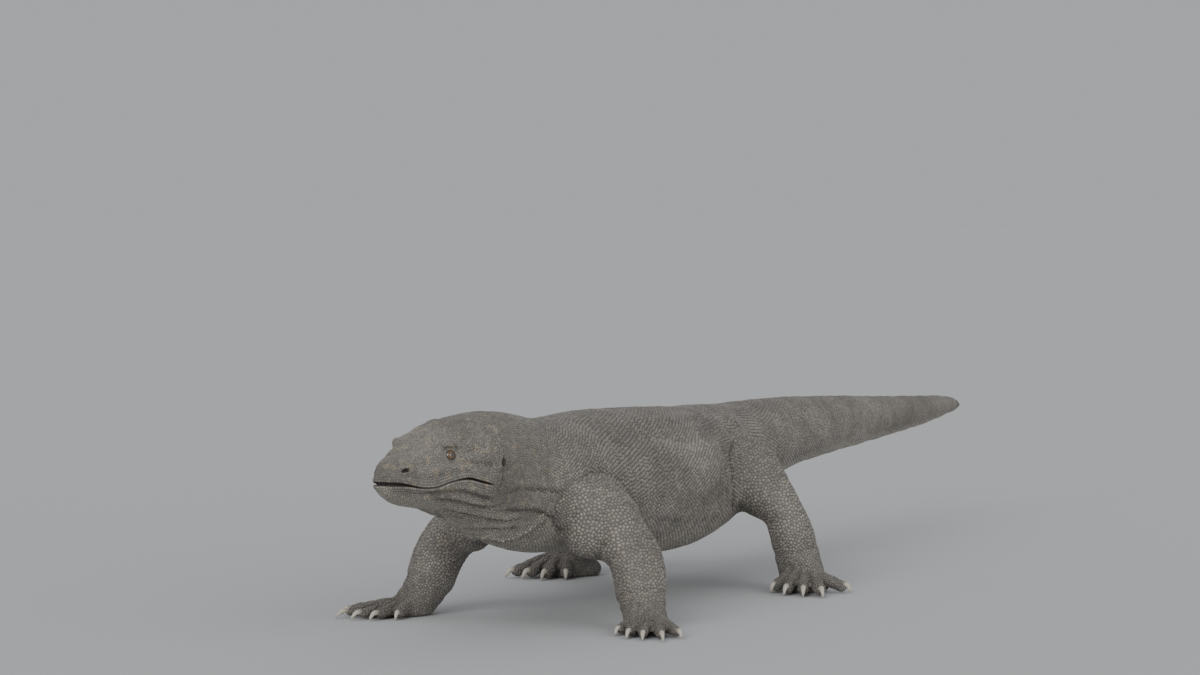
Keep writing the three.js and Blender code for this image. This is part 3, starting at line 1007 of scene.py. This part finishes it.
def lip_rows():
    """Places of the plates along the upper and lower lip, with their size."""
    rows = []
    for side, offset, size in LIP_PLATES:
        front = np.linspace(0, SPINE[0, 4] - 1, 5)[:-1]
        along = np.linspace(SNOUT + 0.6, MOUTH_CORNER + 2, 400)
        y = np.r_[np.full(len(front), SNOUT + 0.6), along]
        line = smooth_rows(MOUTH, y)
        z = line[:, 1] + side * (line[:, 2] / 2 + offset)
        _, top, wide, bottom, half, round_top, round_bottom = smooth_rows(SPINE, y).T
        power = np.where(z > wide, round_top, round_bottom)
        rise = np.where(z > wide, top - wide, wide - bottom)
        x = half * np.maximum(1 - (np.abs(z - wide) / rise) ** power, 0.01) ** (1 / power)
        x[: len(front)] = front
        row = folded(onto_surface(np.c_[x, y, z]))
        length = np.r_[0, np.cumsum(np.linalg.norm(np.diff(row, axis=0), axis=1))]
        stops = np.arange(size * (0.5 if offset < 5 else 1.0), length[-1], size)
        places = np.stack([np.interp(stops, length, column) for column in row.T], axis=1)
        rows.append((places, np.full(len(places), size)))
    return rows


def lid_rows(skin):
    """Places of the small scales in rings round the left eye, with their size."""
    ahead, back, up = EYE_FRAME
    rows = []
    for number, (place, size) in enumerate(LID_SCALES):
        width, height = place * LID["width"], place * LID["height"]
        count = round(math.pi * (width + height) / size)
        turn = 2 * math.pi * (np.arange(count) + 0.5 * (number % 2)) / count
        flat = np.cos(turn)[:, None] * back * width + np.sin(turn)[:, None] * up * height
        starts = (EYE + flat + 30 * ahead).tolist()
        hits = [skin["tree"].ray_cast(start, (-ahead).tolist())[0] for start in starts]
        rows.append((np.array([hit[:] for hit in hits]), np.full(count, size)))
    return rows


def body_rings(random):
    """Places of the scales of neck, trunk and tail, in rings that are staggered like bricks."""
    places = []
    y, number = float(RINGS_START), 0
    turn = np.linspace(-math.pi / 2, 1.5 * math.pi, 361)
    while y < TAIL_TIP - 1:
        size = np.interp(y, *BODY_SCALES.T)
        _, top, wide, bottom, half, round_top, round_bottom = smooth_rows(SPINE, np.array([y]))[0]
        across, up = np.cos(turn), np.sin(turn)
        power = 2 / np.where(up > 0, round_top, round_bottom)
        rise = np.where(up > 0, top - wide, wide - bottom) - COAT
        x = np.sign(across) * np.abs(across) ** power * max(half - COAT, 1)
        z = wide + np.sign(up) * np.abs(up) ** power * rise
        length = np.r_[0, np.cumsum(np.hypot(np.diff(x), np.diff(z)))]
        count = max(round(length[-1] / size), 4)
        stops = (np.arange(count) + 0.5 * (number % 2)) / count * length[-1]
        places.append(np.c_[np.interp(stops, length, x), np.full(count, y), np.interp(stops, length, z)])
        y += size * ROW
        number += 1
    places = np.concatenate(places)
    places += random.uniform(-STRAY, STRAY, places.shape) * scale_size(mirrored(places))[:, None]
    nearer, _ = leg_share(mirrored(places))
    return places[nearer < -1]


def scattered(skin, random):
    """Even random places on the skin, several for each scale that will stay."""
    one, two, three = (skin["corners"][:, n] for n in range(3))
    areas = np.linalg.norm(np.cross(two - one, three - one), axis=1) / 2
    middle = mirrored(skin["corners"].mean(axis=1))
    _, which = leg_share(middle)
    wanted = (middle[:, 1] < RINGS_START + 2) | (which > 0)
    density = np.where(wanted, areas / scale_size(middle) ** 2, 0)
    chosen = random.choice(len(areas), int(density.sum() * TRIES), p=density / density.sum())
    a, b = random.random((2, len(chosen), 1))
    flip = a + b > 1
    a, b = np.where(flip, 1 - a, a), np.where(flip, 1 - b, b)
    one, two, three = one[chosen], two[chosen], three[chosen]
    return one + a * (two - one) + b * (three - one)


def bare(p):
    """Where the left side carries no scattered scale: lips, lids, nostril and ear."""
    above, half = mouth_gap(p)
    on_lips = (above > -half - LIP_REACH["lower"]) & (above < half + LIP_REACH["upper"])
    lips = on_lips & (p[:, 1] < MOUTH_CORNER + 2)
    nostril = pit_distance(p, PITS["nostril"]) < 1.25
    ear = pit_distance(p, PITS["ear"]) < 1.15
    return lips | nostril | ear | (lid_place(p) < LID_SCALES_END)


def thinned(places, sizes, fixed):
    """Keeps the first places, which are fixed, and those of the rest that stand clear of all kept."""
    cell = float(sizes.max())
    room = {}
    kept = []
    around = [(i - 1, j - 1, k - 1) for i, j, k in np.ndindex(3, 3, 3)]
    cells = np.floor(places / cell).astype(int).tolist()
    rows = zip(places.tolist(), (sizes * CLOSEST).tolist(), cells, strict=True)
    for number, ((x, y, z), gap, (i, j, k)) in enumerate(rows):
        clear = number < fixed or not any(
            (x - u) ** 2 + (y - v) ** 2 + (z - w) ** 2 < gap * gap
            for a, b, c in around
            for u, v, w in room.get((i + a, j + b, k + c), ())
        )
        if clear:
            kept.append(number)
            room.setdefault((i, j, k), []).append((x, y, z))
    return np.array(kept)


def neighbours(places, count):
    """Numbers of the nearest other places of each place."""
    tree = KDTree(len(places))
    for number, place in enumerate(places.tolist()):
        tree.insert(place, number)
    tree.balance()
    found = [[hit[1] for hit in tree.find_n(place, count + 1)[1:]] for place in places.tolist()]
    return np.array(found)


def on_skin(places, skin):
    """The nearest places on the skin, and the ways out of it there."""
    hits = [skin["tree"].find_nearest(place) for place in places.tolist()]
    spots = np.array([hit[0][:] for hit in hits])
    faces = np.array([hit[2] for hit in hits])
    first, second, third = (skin["corners"][faces, n] for n in range(3))
    normals = skin["normals"][skin["triangles"][faces]]
    one, two = second - first, third - first
    v = spots - first
    aa, ab, bb = (one * one).sum(1), (one * two).sum(1), (two * two).sum(1)
    va, vb = (v * one).sum(1), (v * two).sum(1)
    area = np.maximum(aa * bb - ab * ab, 1e-12)
    b = np.clip((bb * va - ab * vb) / area, 0, 1)
    c = np.clip((aa * vb - ab * va) / area, 0, 1)
    a = np.clip(1 - b - c, 0, 1)
    ways = normals[:, 0] * a[:, None] + normals[:, 1] * b[:, None] + normals[:, 2] * c[:, None]
    return spots, unit(ways)


def scale_places(skin):
    """Place, size and way out of every scale."""
    random = np.random.default_rng(7)
    places, sizes = [], []
    for row, size in lip_rows() + lid_rows(skin):
        for side in (1, -1):
            places.append(row * (side, 1, 1))
            sizes.append(size)
    rings = body_rings(random)
    loose = scattered(skin, random)
    loose = loose[~bare(mirrored(loose))]
    places = np.concatenate([*places, rings, loose])
    fixed = len(places) - len(loose)
    sizes = np.concatenate([*sizes, scale_size(mirrored(np.concatenate([rings, loose])))])
    kept = thinned(places, sizes, fixed)
    places, sizes = places[kept], sizes[kept]
    places, ways = on_skin(places, skin)
    for _ in range(ROUNDS):
        near = neighbours(places, 6)
        offset = places[:, None] - places[near]
        gap = np.linalg.norm(offset, axis=2)
        wanted = (sizes[:, None] + sizes[near]) / 2
        push = np.clip(wanted - gap, 0, None) / np.maximum(gap, 0.2) * PUSH
        places, ways = on_skin(places + (offset * push[..., None]).sum(axis=1), skin)
    return places, sizes, ways


def scale_outlines(places, sizes, ways, lie):
    """How far each scale reaches in six directions, halfway to its neighbours, and those directions."""
    side = np.cross(ways, lie)
    turn = np.arange(6) * math.pi / 3
    spokes = lie[:, None] * np.cos(turn)[:, None] + side[:, None] * np.sin(turn)[:, None]
    offset = places[neighbours(places, 9)] - places[:, None]
    gap = (offset**2).sum(axis=2)
    facing = np.einsum("nkc,njc->nkj", spokes, offset)
    reach = np.where(facing > 0.05, gap[:, None] / np.maximum(2 * facing, 1e-6), np.inf).min(axis=2)
    return np.minimum(reach, sizes[:, None] * FARTHEST), spokes


def scale_parts(places):
    """The part of the animal each scale belongs to."""
    p = mirrored(places)
    _, which = leg_share(p)
    names = np.full(len(p), "trunk", dtype="<U16")
    names[p[:, 1] < NECK_END] = "neck"
    names[p[:, 1] < HEAD_END] = "head"
    names[p[:, 1] > TAIL_START] = "tail"
    names[which == 1] = "forelegs"
    names[which == 2] = "hindlegs"
    return names


def unwrapped(places, ways, part):
    """Places on a flat map of the skin, from 0 to 1: along and around body or leg."""
    p = mirrored(places)
    if part not in ("forelegs", "hindlegs"):
        wide = smooth_rows(SPINE, p[:, 1])[:, 2]
        around = np.arctan2(places[:, 0], places[:, 2] - wide) / (2 * math.pi) + 0.5
        return squared(places[:, 1]), around
    leg = LEGS["fore" if part == "forelegs" else "hind"][0]
    _, place = limb_place(p, leg)
    centre = smooth_rows(numbered(leg["stations"]), place)[:, 1:4]
    v = p - centre
    reach = np.linalg.norm(v, axis=1) / 200
    turn = np.arctan2(v[:, 1], v[:, 0]) / (2 * math.pi) + 0.5
    sole = (ways[:, 2] < -0.5) & (p[:, 2] < 16)
    along = np.where(sole, squared(p[:, 0], sole) * 0.12 + 0.87, squared(place + reach) * 0.85)
    turn = np.where(sole, squared(p[:, 1], sole), turn)
    half = np.where(places[:, 0] > 0, 0.0, 0.5)
    return along, turn * 0.49 + half


def squared(values, picked=slice(None)):
    """Values from 0 to 1, between the lowest and the highest of those that are picked."""
    among = values[picked] if len(values[picked]) else values
    low, high = among.min(), among.max()
    return np.clip((values - low) / max(high - low, 1e-6), 0, 1)


# A scale's points: six at its foot, six at its shoulder and its crown. It leans back along the lie.
RISE = 0.2  # height of a scale as a share of its size
FLATTER = 0.45  # how much lower scales are under belly and soles
FOOT = 0.94  # how much of the way to its neighbours its foot takes
LEAN = np.array([0.86, 0.8, 0.66, 0.58, 0.66, 0.8])  # height of the shoulder, from the back round
SHOULDER = np.array([0.84, 0.78, 0.7, 0.66, 0.7, 0.78])  # and how far out it stands
SCALE_FACES = [(k, (k + 1) % 6, (k + 1) % 6 + 6, k + 6) for k in range(6)]
SCALE_FACES += [(k + 6, (k + 1) % 6 + 6, 12) for k in range(6)] + [tuple(range(5, -1, -1))]
SCALE_POINTS = 13


def scale_points(places, ways, reach, spokes, rise):
    """Points of scales, one scale after another."""
    foot = places[:, None] + spokes * (reach * FOOT)[..., None] - ways[:, None] * SINK
    shoulder = ways[:, None] * (rise[:, None] * LEAN)[..., None]
    top = places[:, None] + spokes * (reach * SHOULDER)[..., None] + shoulder
    crown = places + ways * rise[:, None]
    points = np.concatenate([foot, top, crown[:, None]], axis=1).reshape(-1, 3)
    points[:, 2] = np.maximum(points[:, 2], 0)
    return points


def scale_mesh(name, scales):
    """A joined mesh of scales, each a closed low dome with its own patch on the map."""
    points = scale_points(*(scales[key] for key in ("places", "ways", "reach", "spokes", "rise")))
    count = len(scales["places"])
    base = np.arange(count)[:, None] * SCALE_POINTS
    loops = np.concatenate([base + np.array(face) for face in SCALE_FACES], axis=1).ravel()
    lengths = [len(face) for face in SCALE_FACES]
    starts = np.concatenate([[0], np.cumsum(lengths)[:-1]])
    per_scale = sum(lengths)
    mesh = bpy.data.meshes.new(name)
    mesh.vertices.add(len(points))
    mesh.vertices.foreach_set("co", to_frame(points).ravel().astype(np.float32))
    mesh.loops.add(len(loops))
    mesh.loops.foreach_set("vertex_index", loops.astype(np.int32))
    mesh.polygons.add(count * len(lengths))
    mesh.polygons.foreach_set(
        "loop_start", (np.arange(count)[:, None] * per_scale + starts).ravel().astype(np.int32)
    )
    mesh.update(calc_edges=True)
    give_values(mesh, "tone", np.repeat(scales["tone"], SCALE_POINTS))
    # How high each point stands on its scale, which sets how much painted groove shade it gets
    give_values(mesh, "crown", np.tile([0.0] * 6 + [0.8] * 6 + [1.0], count))
    for mark, values in markings(points).items():
        give_values(mesh, mark, values)
    spread_map(mesh, scales)
    return mesh


def spread_map(mesh, scales):
    """Gives each scale its patch on the OFBake map, at its root's place."""
    turn = np.arange(6) * math.pi / 3
    ring = np.stack([np.cos(turn), np.sin(turn)], axis=1) * PATCH / 2
    corner = np.concatenate([ring, ring * 0.72, np.zeros((1, 2))])
    under = np.array((0.9, 0.9)) * PATCH + ring * 0.2
    patch = np.concatenate([corner[np.array(face)] for face in SCALE_FACES[:-1]] + [under[::-1]])
    root = np.stack([scales["along"], scales["around"]], axis=1) * (1 - 4 * PATCH) + 2 * PATCH
    layer = mesh.uv_layers.new(name="OFBake")
    layer.data.foreach_set("uv", (root[:, None] + patch).ravel().astype(np.float32))


def markings(points):
    """Markings by place, on skin and scales alike: pale underside, painted shade on the top of the back,
    spots, feet, and painted shade in the mouth's slit, the nostrils, the ears and at the edges of the lids.
    """
    p = mirrored(points)
    _, y, z = p.T
    rows = smooth_rows(SPINE, y)
    low = (rows[:, 2] - z) / np.maximum(rows[:, 2] - rows[:, 3], 1)
    _, which = leg_share(p)
    patchy = 0.12 * noise(points, 60, 21)
    belly = np.where(which > 0, 0, ramp(low + patchy, 0.45, 0.95))
    high = (z - rows[:, 2]) / np.maximum(rows[:, 1] - rows[:, 2], 1)
    # Painted shade: the top of the back, from the neck on, is darkened.
    back = np.where(which > 0, 0, ramp(high + patchy, 0.5, 0.9) * ramp(y, -520, -430))
    head = ramp(y, -440, -600)
    tan = np.clip(0.25 + 0.75 * head + 0.35 * ramp(y, -150, -380), 0, 1) * (1 - 0.6 * belly)
    feet = ramp(z, 90, 25) * (which > 0)
    # Painted shade in the slit of the mouth, in nostrils and ears, and at the edges of the lids.
    above, half = mouth_gap(p)
    slit = ramp(np.abs(above), half + 0.9, half + 0.1) * ramp(y, MOUTH_CORNER + 1, MOUTH_CORNER - 8)
    pits = np.max([ramp(pit_distance(p, pit), 0.95, 0.6) for pit in PITS.values()], axis=0)
    lids = ramp(lid_place(p), 1.16, 1.02)
    opening_shade = np.maximum.reduce([slit, pits, lids])
    return {"belly": belly, "back": back, "tan": tan, "feet": feet, "opening_shade": opening_shade}


def add_scales(skin, material):
    """All the scales, in pieces by part of the body."""
    places, sizes, ways = scale_places(skin)
    side = side_of(places)
    lie = lie_of(places * side) * side
    lie = unit(lie - ways * (lie * ways).sum(axis=1)[:, None])
    reach, spokes = scale_outlines(places, sizes, ways, lie)
    under = ramp(ways[:, 2], -0.4, -0.9) * (places[:, 2] < 200)
    scales = {
        "places": places,
        "ways": ways,
        "reach": reach,
        "spokes": spokes,
        "rise": sizes * RISE * (1 - FLATTER * under),
        "tone": np.random.default_rng(11).random(len(places)),
    }
    parts = scale_parts(places)
    for part in np.unique(parts):
        here = np.flatnonzero(parts == part)
        here = here[np.argsort(places[here, 1], kind="stable")]
        pieces = np.array_split(here, math.ceil(len(here) / MOST_SCALES))
        for number, chosen in enumerate(pieces, 1):
            name = f"scales_{part}" if len(pieces) == 1 else f"scales_{part}_{number}"
            mine = {key: values[chosen] for key, values in scales.items()}
            mine["along"], mine["around"] = unwrapped(mine["places"], mine["ways"], part)
            add_object(name, scale_mesh(name, mine), material)


# ------------------------------------------------------------------ skin, eyes and claws
BODY_NODES = ("head", "lower_jaw", "neck", "chest", "belly", "hips", "tail_1", "tail_2", "tail_3", "tail_4")
LEG_NODES = ("upper_arm", "forearm", "forefoot", "thigh", "shank", "hindfoot")
FLESH_NODES = [*BODY_NODES, *(f"{name}_{side}" for name in LEG_NODES for side in SIDES)]


def add_skin(material):
    """The skin, and its triangles and normals for what lies on it."""
    points, faces = skin_form()
    mesh = new_mesh("skin", points, faces, markings(points))
    add_object("skin", mesh, material, FLESH_NODES)
    normals = np.empty(len(points) * 3, np.float32)
    mesh.vertices.foreach_get("normal", normals)
    mesh.calc_loop_triangles()
    triangles = np.empty(len(mesh.loop_triangles) * 3, np.int32)
    mesh.loop_triangles.foreach_get("vertices", triangles)
    triangles = triangles.reshape(-1, 3)
    return {
        "tree": BVHTree.FromPolygons(points.tolist(), triangles.tolist(), all_triangles=True),
        "corners": points[triangles],
        "triangles": triangles,
        "normals": normals.reshape(-1, 3),
    }


def add_eye(side_name, side, material):
    """An eyeball with a slightly bulging cornea, turned the way the eye looks."""
    ahead, back, up = EYE_FRAME
    rings, sides = 40, 48
    points, place = [], []
    for ring in range(rings + 1):
        angle = math.pi * ring / rings
        bulge = 0.5 * bell(angle, 0.5)
        radius = EYE_RADIUS - 0.5 + bulge
        for n in range(sides if 0 < ring < rings else 1):
            turn = 2 * math.pi * n / sides
            out = math.sin(angle) * (math.cos(turn) * back + math.sin(turn) * up)
            points.append(EYE + radius * (math.cos(angle) * ahead + out))
            place.append(radius * math.sin(angle) if angle < math.pi / 2 else 12)
    faces = ring_faces(rings - 1, sides, side < 0)
    mesh = new_mesh("eyeball", np.array(points) * (side, 1, 1), faces, {"from_pupil": place})
    add_object(f"eyeball_{side_name}", mesh, material, [f"eye_{side_name}"])


CLAW_RINGS, CLAW_SIDES = 16, 14


def claw_points(stations):
    """Points of a claw, a curved cone that is narrower than deep, with a groove below."""
    path = resampled(stations, CLAW_RINGS)
    root, point = path[0, :3], path[-1, :3]
    ahead = unit((point - root) * (1, 1, 0))
    across = np.cross(ahead, UP)
    points = [root]
    for number, (x, y, z, radius) in enumerate(path):
        share = number / CLAW_RINGS
        arch = CLAW["arch"] * math.sin(math.pi * share) * min(1, np.linalg.norm(point - root) / 22)
        before, after = path[max(number - 1, 0), :3], path[min(number + 1, CLAW_RINGS), :3]
        upright = unit(np.cross(across, unit(after - before)))
        swell = 1 + 0.1 * bell(share - 0.22, 0.1)
        rounding = math.sqrt(max(0.06, 1 - max(0, (share - 0.88) / 0.12) ** 2))
        for n in range(CLAW_SIDES):
            turn = 2 * math.pi * n / CLAW_SIDES
            wide, tall = math.cos(turn), math.sin(turn)
            groove = CLAW["groove"] * bell(wide, 0.4) if tall < 0 else 0.0
            out = across * wide * CLAW["narrow"] + upright * tall * (1 - groove)
            points.append(np.array((x, y, z + arch)) + radius * swell * rounding * out)
    points = np.array([*points, point + ahead * 0.2])
    points[:, 2] = np.maximum(points[:, 2], 0.2)
    return points


def add_claws(material):
    """Twenty claws, the right ones mirror images of the left."""
    share = np.repeat(np.linspace(0, 1, CLAW_RINGS + 1), CLAW_SIDES)
    along = {"along": [0, *share, 1]}
    for leg, (_, foot) in LEGS.items():
        for number, toe in enumerate(foot["toes"], 1):
            points = claw_points(toe_stations(foot, toe)[1])
            for name, side in SIDES.items():
                faces = ring_faces(CLAW_RINGS + 1, CLAW_SIDES, side > 0)
                mesh = new_mesh("claw", points * (side, 1, 1), faces, along)
                place = f"{leg}_{name}_{number}"
                add_object(f"horn_{place}", mesh, material, [f"claw_{place}"])


# ------------------------------------------------------------------ materials
COLOURS = {
    "dark": (0.148, 0.135, 0.119),
    "light": (0.264, 0.247, 0.222),
    "tan": (0.380, 0.322, 0.222),
    "pale": (0.360, 0.335, 0.290),
    # painted shade for the top of the back
    "back_shade": (0.112, 0.105, 0.096),
    "foot": (0.130, 0.120, 0.108),
    # painted shade inside the mouth's slit, the nostrils and ears, and at the edges of the lids
    "opening_shade": (0.030, 0.017, 0.015),
    # painted shade for the grooves between scales
    "groove": (0.052, 0.046, 0.040),
    "floor": (0.486, 0.491, 0.498),
    "claw root": (0.30, 0.265, 0.215),
    "claw": (0.52, 0.48, 0.41),
    "claw tip": (0.36, 0.32, 0.27),
    "pupil": (0.003, 0.003, 0.003),
    "pupil rim": (0.17, 0.105, 0.045),
    "iris": (0.072, 0.036, 0.016),
    "iris light": (0.145, 0.078, 0.033),
    "eyeball": (0.030, 0.017, 0.011),
}


def new_material(name):
    material = bpy.data.materials.new(name)
    material.use_nodes = True
    tree = material.node_tree
    return material, tree, tree.nodes["Principled BSDF"]


def add_node(tree, kind, settings=(), **inputs):
    """A node with its inputs set or linked by name; underscores stand for spaces."""
    node = tree.nodes.new(f"ShaderNode{kind}")
    for key, value in dict(settings).items():
        setattr(node, key, value)
    for key, value in inputs.items():
        socket = node.inputs[key.replace("_", " ")]
        if isinstance(value, bpy.types.NodeSocket):
            tree.links.new(value, socket)
        else:
            socket.default_value = value
    return node


def mixed(tree, share, one, two):
    """One colour mixed with another; each is a socket or the name of a colour."""
    node = add_node(tree, "Mix", {"data_type": "RGBA"})
    tree.links.new(share, node.inputs[0])
    for value, socket in ((one, node.inputs[6]), (two, node.inputs[7])):
        if isinstance(value, str):
            socket.default_value = (*COLOURS[value], 1)
        else:
            tree.links.new(value, socket)
    return node.outputs[2]


def ranged(tree, value, low, high, to_low=0.0, to_high=1.0):
    """A value brought smoothly from one range to another."""
    node = add_node(tree, "MapRange", {"interpolation_type": "SMOOTHSTEP"}, Value=value)
    for key, number in (("From Min", low), ("From Max", high), ("To Min", to_low), ("To Max", to_high)):
        node.inputs[key].default_value = number
    return node.outputs[0]


def attribute(tree, name):
    return add_node(tree, "Attribute", {"attribute_name": name}).outputs["Fac"]


def product(tree, one, two):
    """A socket's value times another socket's or a number."""
    node = add_node(tree, "Math", {"operation": "MULTIPLY"})
    tree.links.new(one, node.inputs[0])
    if isinstance(two, bpy.types.NodeSocket):
        tree.links.new(two, node.inputs[1])
    else:
        node.inputs[1].default_value = two
    return node.outputs[0]


def by_place(tree, kind, settings=(), **inputs):
    """A texture's value by place on the object; its scale is per metre."""
    place = add_node(tree, "TexCoord").outputs["Object"]
    return add_node(tree, kind, settings, Vector=place, **inputs).outputs[0]


def add_bump(tree, shader, height, strength, distance):
    bump = add_node(tree, "Bump", Height=height, Strength=strength, Distance=distance)
    tree.links.new(bump.outputs[0], shader.inputs["Normal"])


def hide_material(name, granules):
    """Grey-brown hide with pale spots and underside. Between the scales it is grained with granules."""
    material, tree, shader = new_material(name)
    clouds = by_place(tree, "TexNoise", Scale=6.5, Detail=5, Roughness=0.65)
    colour = mixed(tree, ranged(tree, clouds, 0.26, 0.74), "dark", "light")
    flecks = by_place(tree, "TexNoise", Scale=62, Detail=1.5, Roughness=0.55)
    spots = ranged(tree, flecks, 0.56, 0.64, 0.0, 0.45)
    colour = mixed(tree, product(tree, spots, attribute(tree, "tan")), colour, "tan")
    # The back mark is painted shade on the top of the back.
    for mark, strength, tint in (("belly", 0.75, "pale"), ("back", 0.35, "back_shade"), ("feet", 0.55, "foot")):
        colour = mixed(tree, product(tree, attribute(tree, mark), strength), colour, tint)
    value = ranged(tree, attribute(tree, "tone"), 0.0, 1.0, 0.8, 1.2)
    colour = add_node(tree, "HueSaturation", Color=colour, Value=value).outputs[0]
    # Painted shade: the feet of the scales and the bare skin between them, which has no crown value, are
    # darkened towards the groove colour.
    groove_shade = ranged(tree, attribute(tree, "crown"), 0.0, 1.0, 0.45, 0.0)
    colour = mixed(tree, groove_shade, colour, "groove")
    # Painted shade in the openings: mouth slit, nostrils, ears and lid edges.
    colour = mixed(tree, attribute(tree, "opening_shade"), colour, "opening_shade")
    tree.links.new(colour, shader.inputs["Base Color"])
    wear = by_place(tree, "TexNoise", Scale=38, Detail=4, Roughness=0.55)
    tree.links.new(ranged(tree, wear, 0.3, 0.7, 0.52, 0.74), shader.inputs["Roughness"])
    if granules:
        grain = by_place(tree, "TexVoronoi", {"feature": "SMOOTH_F1"}, Scale=520)
        add_bump(tree, shader, product(tree, grain, -1.0), 0.5, 0.8 * MM)
    else:
        grain = by_place(tree, "TexNoise", Scale=900, Detail=3, Roughness=0.55)
        add_bump(tree, shader, grain, 0.5, 0.4 * MM)
    return material


# Distances from the eye's axis over which one colour gives way to the next.
PUPIL_EDGE, RIM_EDGE, IRIS_EDGE = (2.7, 3.0), (3.0, 3.9), (6.6, 7.8)


def eye_material():
    """Dark pupil, brown iris with rays, and a near black eyeball, under a wet coat."""
    material, tree, shader = new_material("wet eye")
    distance = attribute(tree, "from_pupil")
    rays = by_place(tree, "TexNoise", Scale=1400, Detail=3)
    iris = mixed(tree, ranged(tree, rays, 0.35, 0.65), "iris", "iris light")
    rim = mixed(tree, ranged(tree, distance, *RIM_EDGE), "pupil rim", iris)
    colour = mixed(tree, ranged(tree, distance, *PUPIL_EDGE), "pupil", rim)
    colour = mixed(tree, ranged(tree, distance, *IRIS_EDGE), colour, "eyeball")
    tree.links.new(colour, shader.inputs["Base Color"])
    shader.inputs["Roughness"].default_value = 0.22
    shader.inputs["Coat Weight"].default_value = 1.0
    shader.inputs["Coat Roughness"].default_value = 0.03
    return material


def claw_material():
    """Pale horn, brown at the root, with fine streaks and a slightly darker point."""
    material, tree, shader = new_material("claw horn")
    along = attribute(tree, "along")
    grain = by_place(tree, "TexNoise", Scale=420, Detail=5, Roughness=0.6)
    cloud = by_place(tree, "TexNoise", Scale=90, Detail=2)
    colour = mixed(tree, ranged(tree, along, 0.15, 0.5), "claw root", "claw")
    colour = mixed(tree, ranged(tree, along, 0.72, 1.0), colour, "claw tip")
    colour = mixed(tree, ranged(tree, grain, 0.4, 0.75, 0.0, 0.4), colour, "claw root")
    colour = mixed(tree, ranged(tree, cloud, 0.45, 0.7, 0.0, 0.3), colour, "claw tip")
    tree.links.new(colour, shader.inputs["Base Color"])
    tree.links.new(ranged(tree, grain, 0.3, 0.7, 0.3, 0.48), shader.inputs["Roughness"])
    add_bump(tree, shader, grain, 0.3, 0.4 * MM)
    return material


def floor_material():
    material, tree, shader = new_material("studio floor")
    cloud = by_place(tree, "TexNoise", Scale=3, Detail=3)
    tree.links.new(ranged(tree, cloud, 0.3, 0.7, 0.82, 0.9), shader.inputs["Roughness"])
    shader.inputs["Base Color"].default_value = (*COLOURS["floor"], 1)
    return material


# ------------------------------------------------------------------ studio
FLOOR = {"radius": 40.0, "sides": 96}


def add_floor(material):
    turns = [2 * math.pi * n / FLOOR["sides"] for n in range(FLOOR["sides"])]
    points = [(FLOOR["radius"] * math.cos(turn), FLOOR["radius"] * math.sin(turn), 0.0) for turn in turns]
    mesh = bpy.data.meshes.new("floor")
    mesh.from_pydata(points, [], [tuple(range(FLOOR["sides"]))])
    mesh.materials.append(material)
    floor = bpy.data.objects.new("floor", mesh)
    bpy.context.collection.objects.link(floor)


CAMERA = {"at": (2.781, -5.9475, 0.800), "turn": (87.091, 0, 27.15), "lens": 100}
# Broad soft lamps: azimuth and height above the floor that they shine from, in degrees, their width
# and strength. Azimuth 0 is from the front of the animal and 90 from its left.
LAMPS = {
    "key": (2, 28, 44, 1.72),
    "fill": (76, 16, 60, 1.34),
    "back": (205, 48, 60, 0.20),
}
SKY = {"colour": (0.405, 0.413, 0.424), "strength": 1.08}


def add_camera():
    camera = bpy.data.objects.new("camera", bpy.data.cameras.new("camera"))
    camera.data.lens = CAMERA["lens"]
    camera.location = CAMERA["at"]
    camera.rotation_euler = [math.radians(angle) for angle in CAMERA["turn"]]
    bpy.context.collection.objects.link(camera)
    bpy.context.scene.camera = camera


def add_lights():
    for name, (azimuth, height, width, strength) in LAMPS.items():
        light = bpy.data.lights.new(name, "SUN")
        light.angle = math.radians(width)
        light.energy = strength
        lamp = bpy.data.objects.new(name, light)
        turn, rise = math.radians(azimuth), math.radians(height)
        source = Vector((math.sin(turn) * math.cos(rise), -math.cos(turn) * math.cos(rise), math.sin(rise)))
        lamp.rotation_euler = (-source).to_track_quat("-Z", "Y").to_euler()
        bpy.context.collection.objects.link(lamp)
    world = bpy.data.worlds.new("studio")
    world.use_nodes = True
    sky = world.node_tree.nodes["Background"]
    sky.inputs["Color"].default_value = (*SKY["colour"], 1)
    sky.inputs["Strength"].default_value = SKY["strength"]
    bpy.context.scene.world = world


def main():
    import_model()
    add_camera()
    add_lights()
    add_floor(floor_material())
    skin = add_skin(hide_material("hide", granules=True))
    add_scales(skin, hide_material("scales", granules=False))
    for name, side in SIDES.items():
        add_eye(name, side, eye_material())
    add_claws(claw_material())
    bpy.context.view_layer.update()


main()
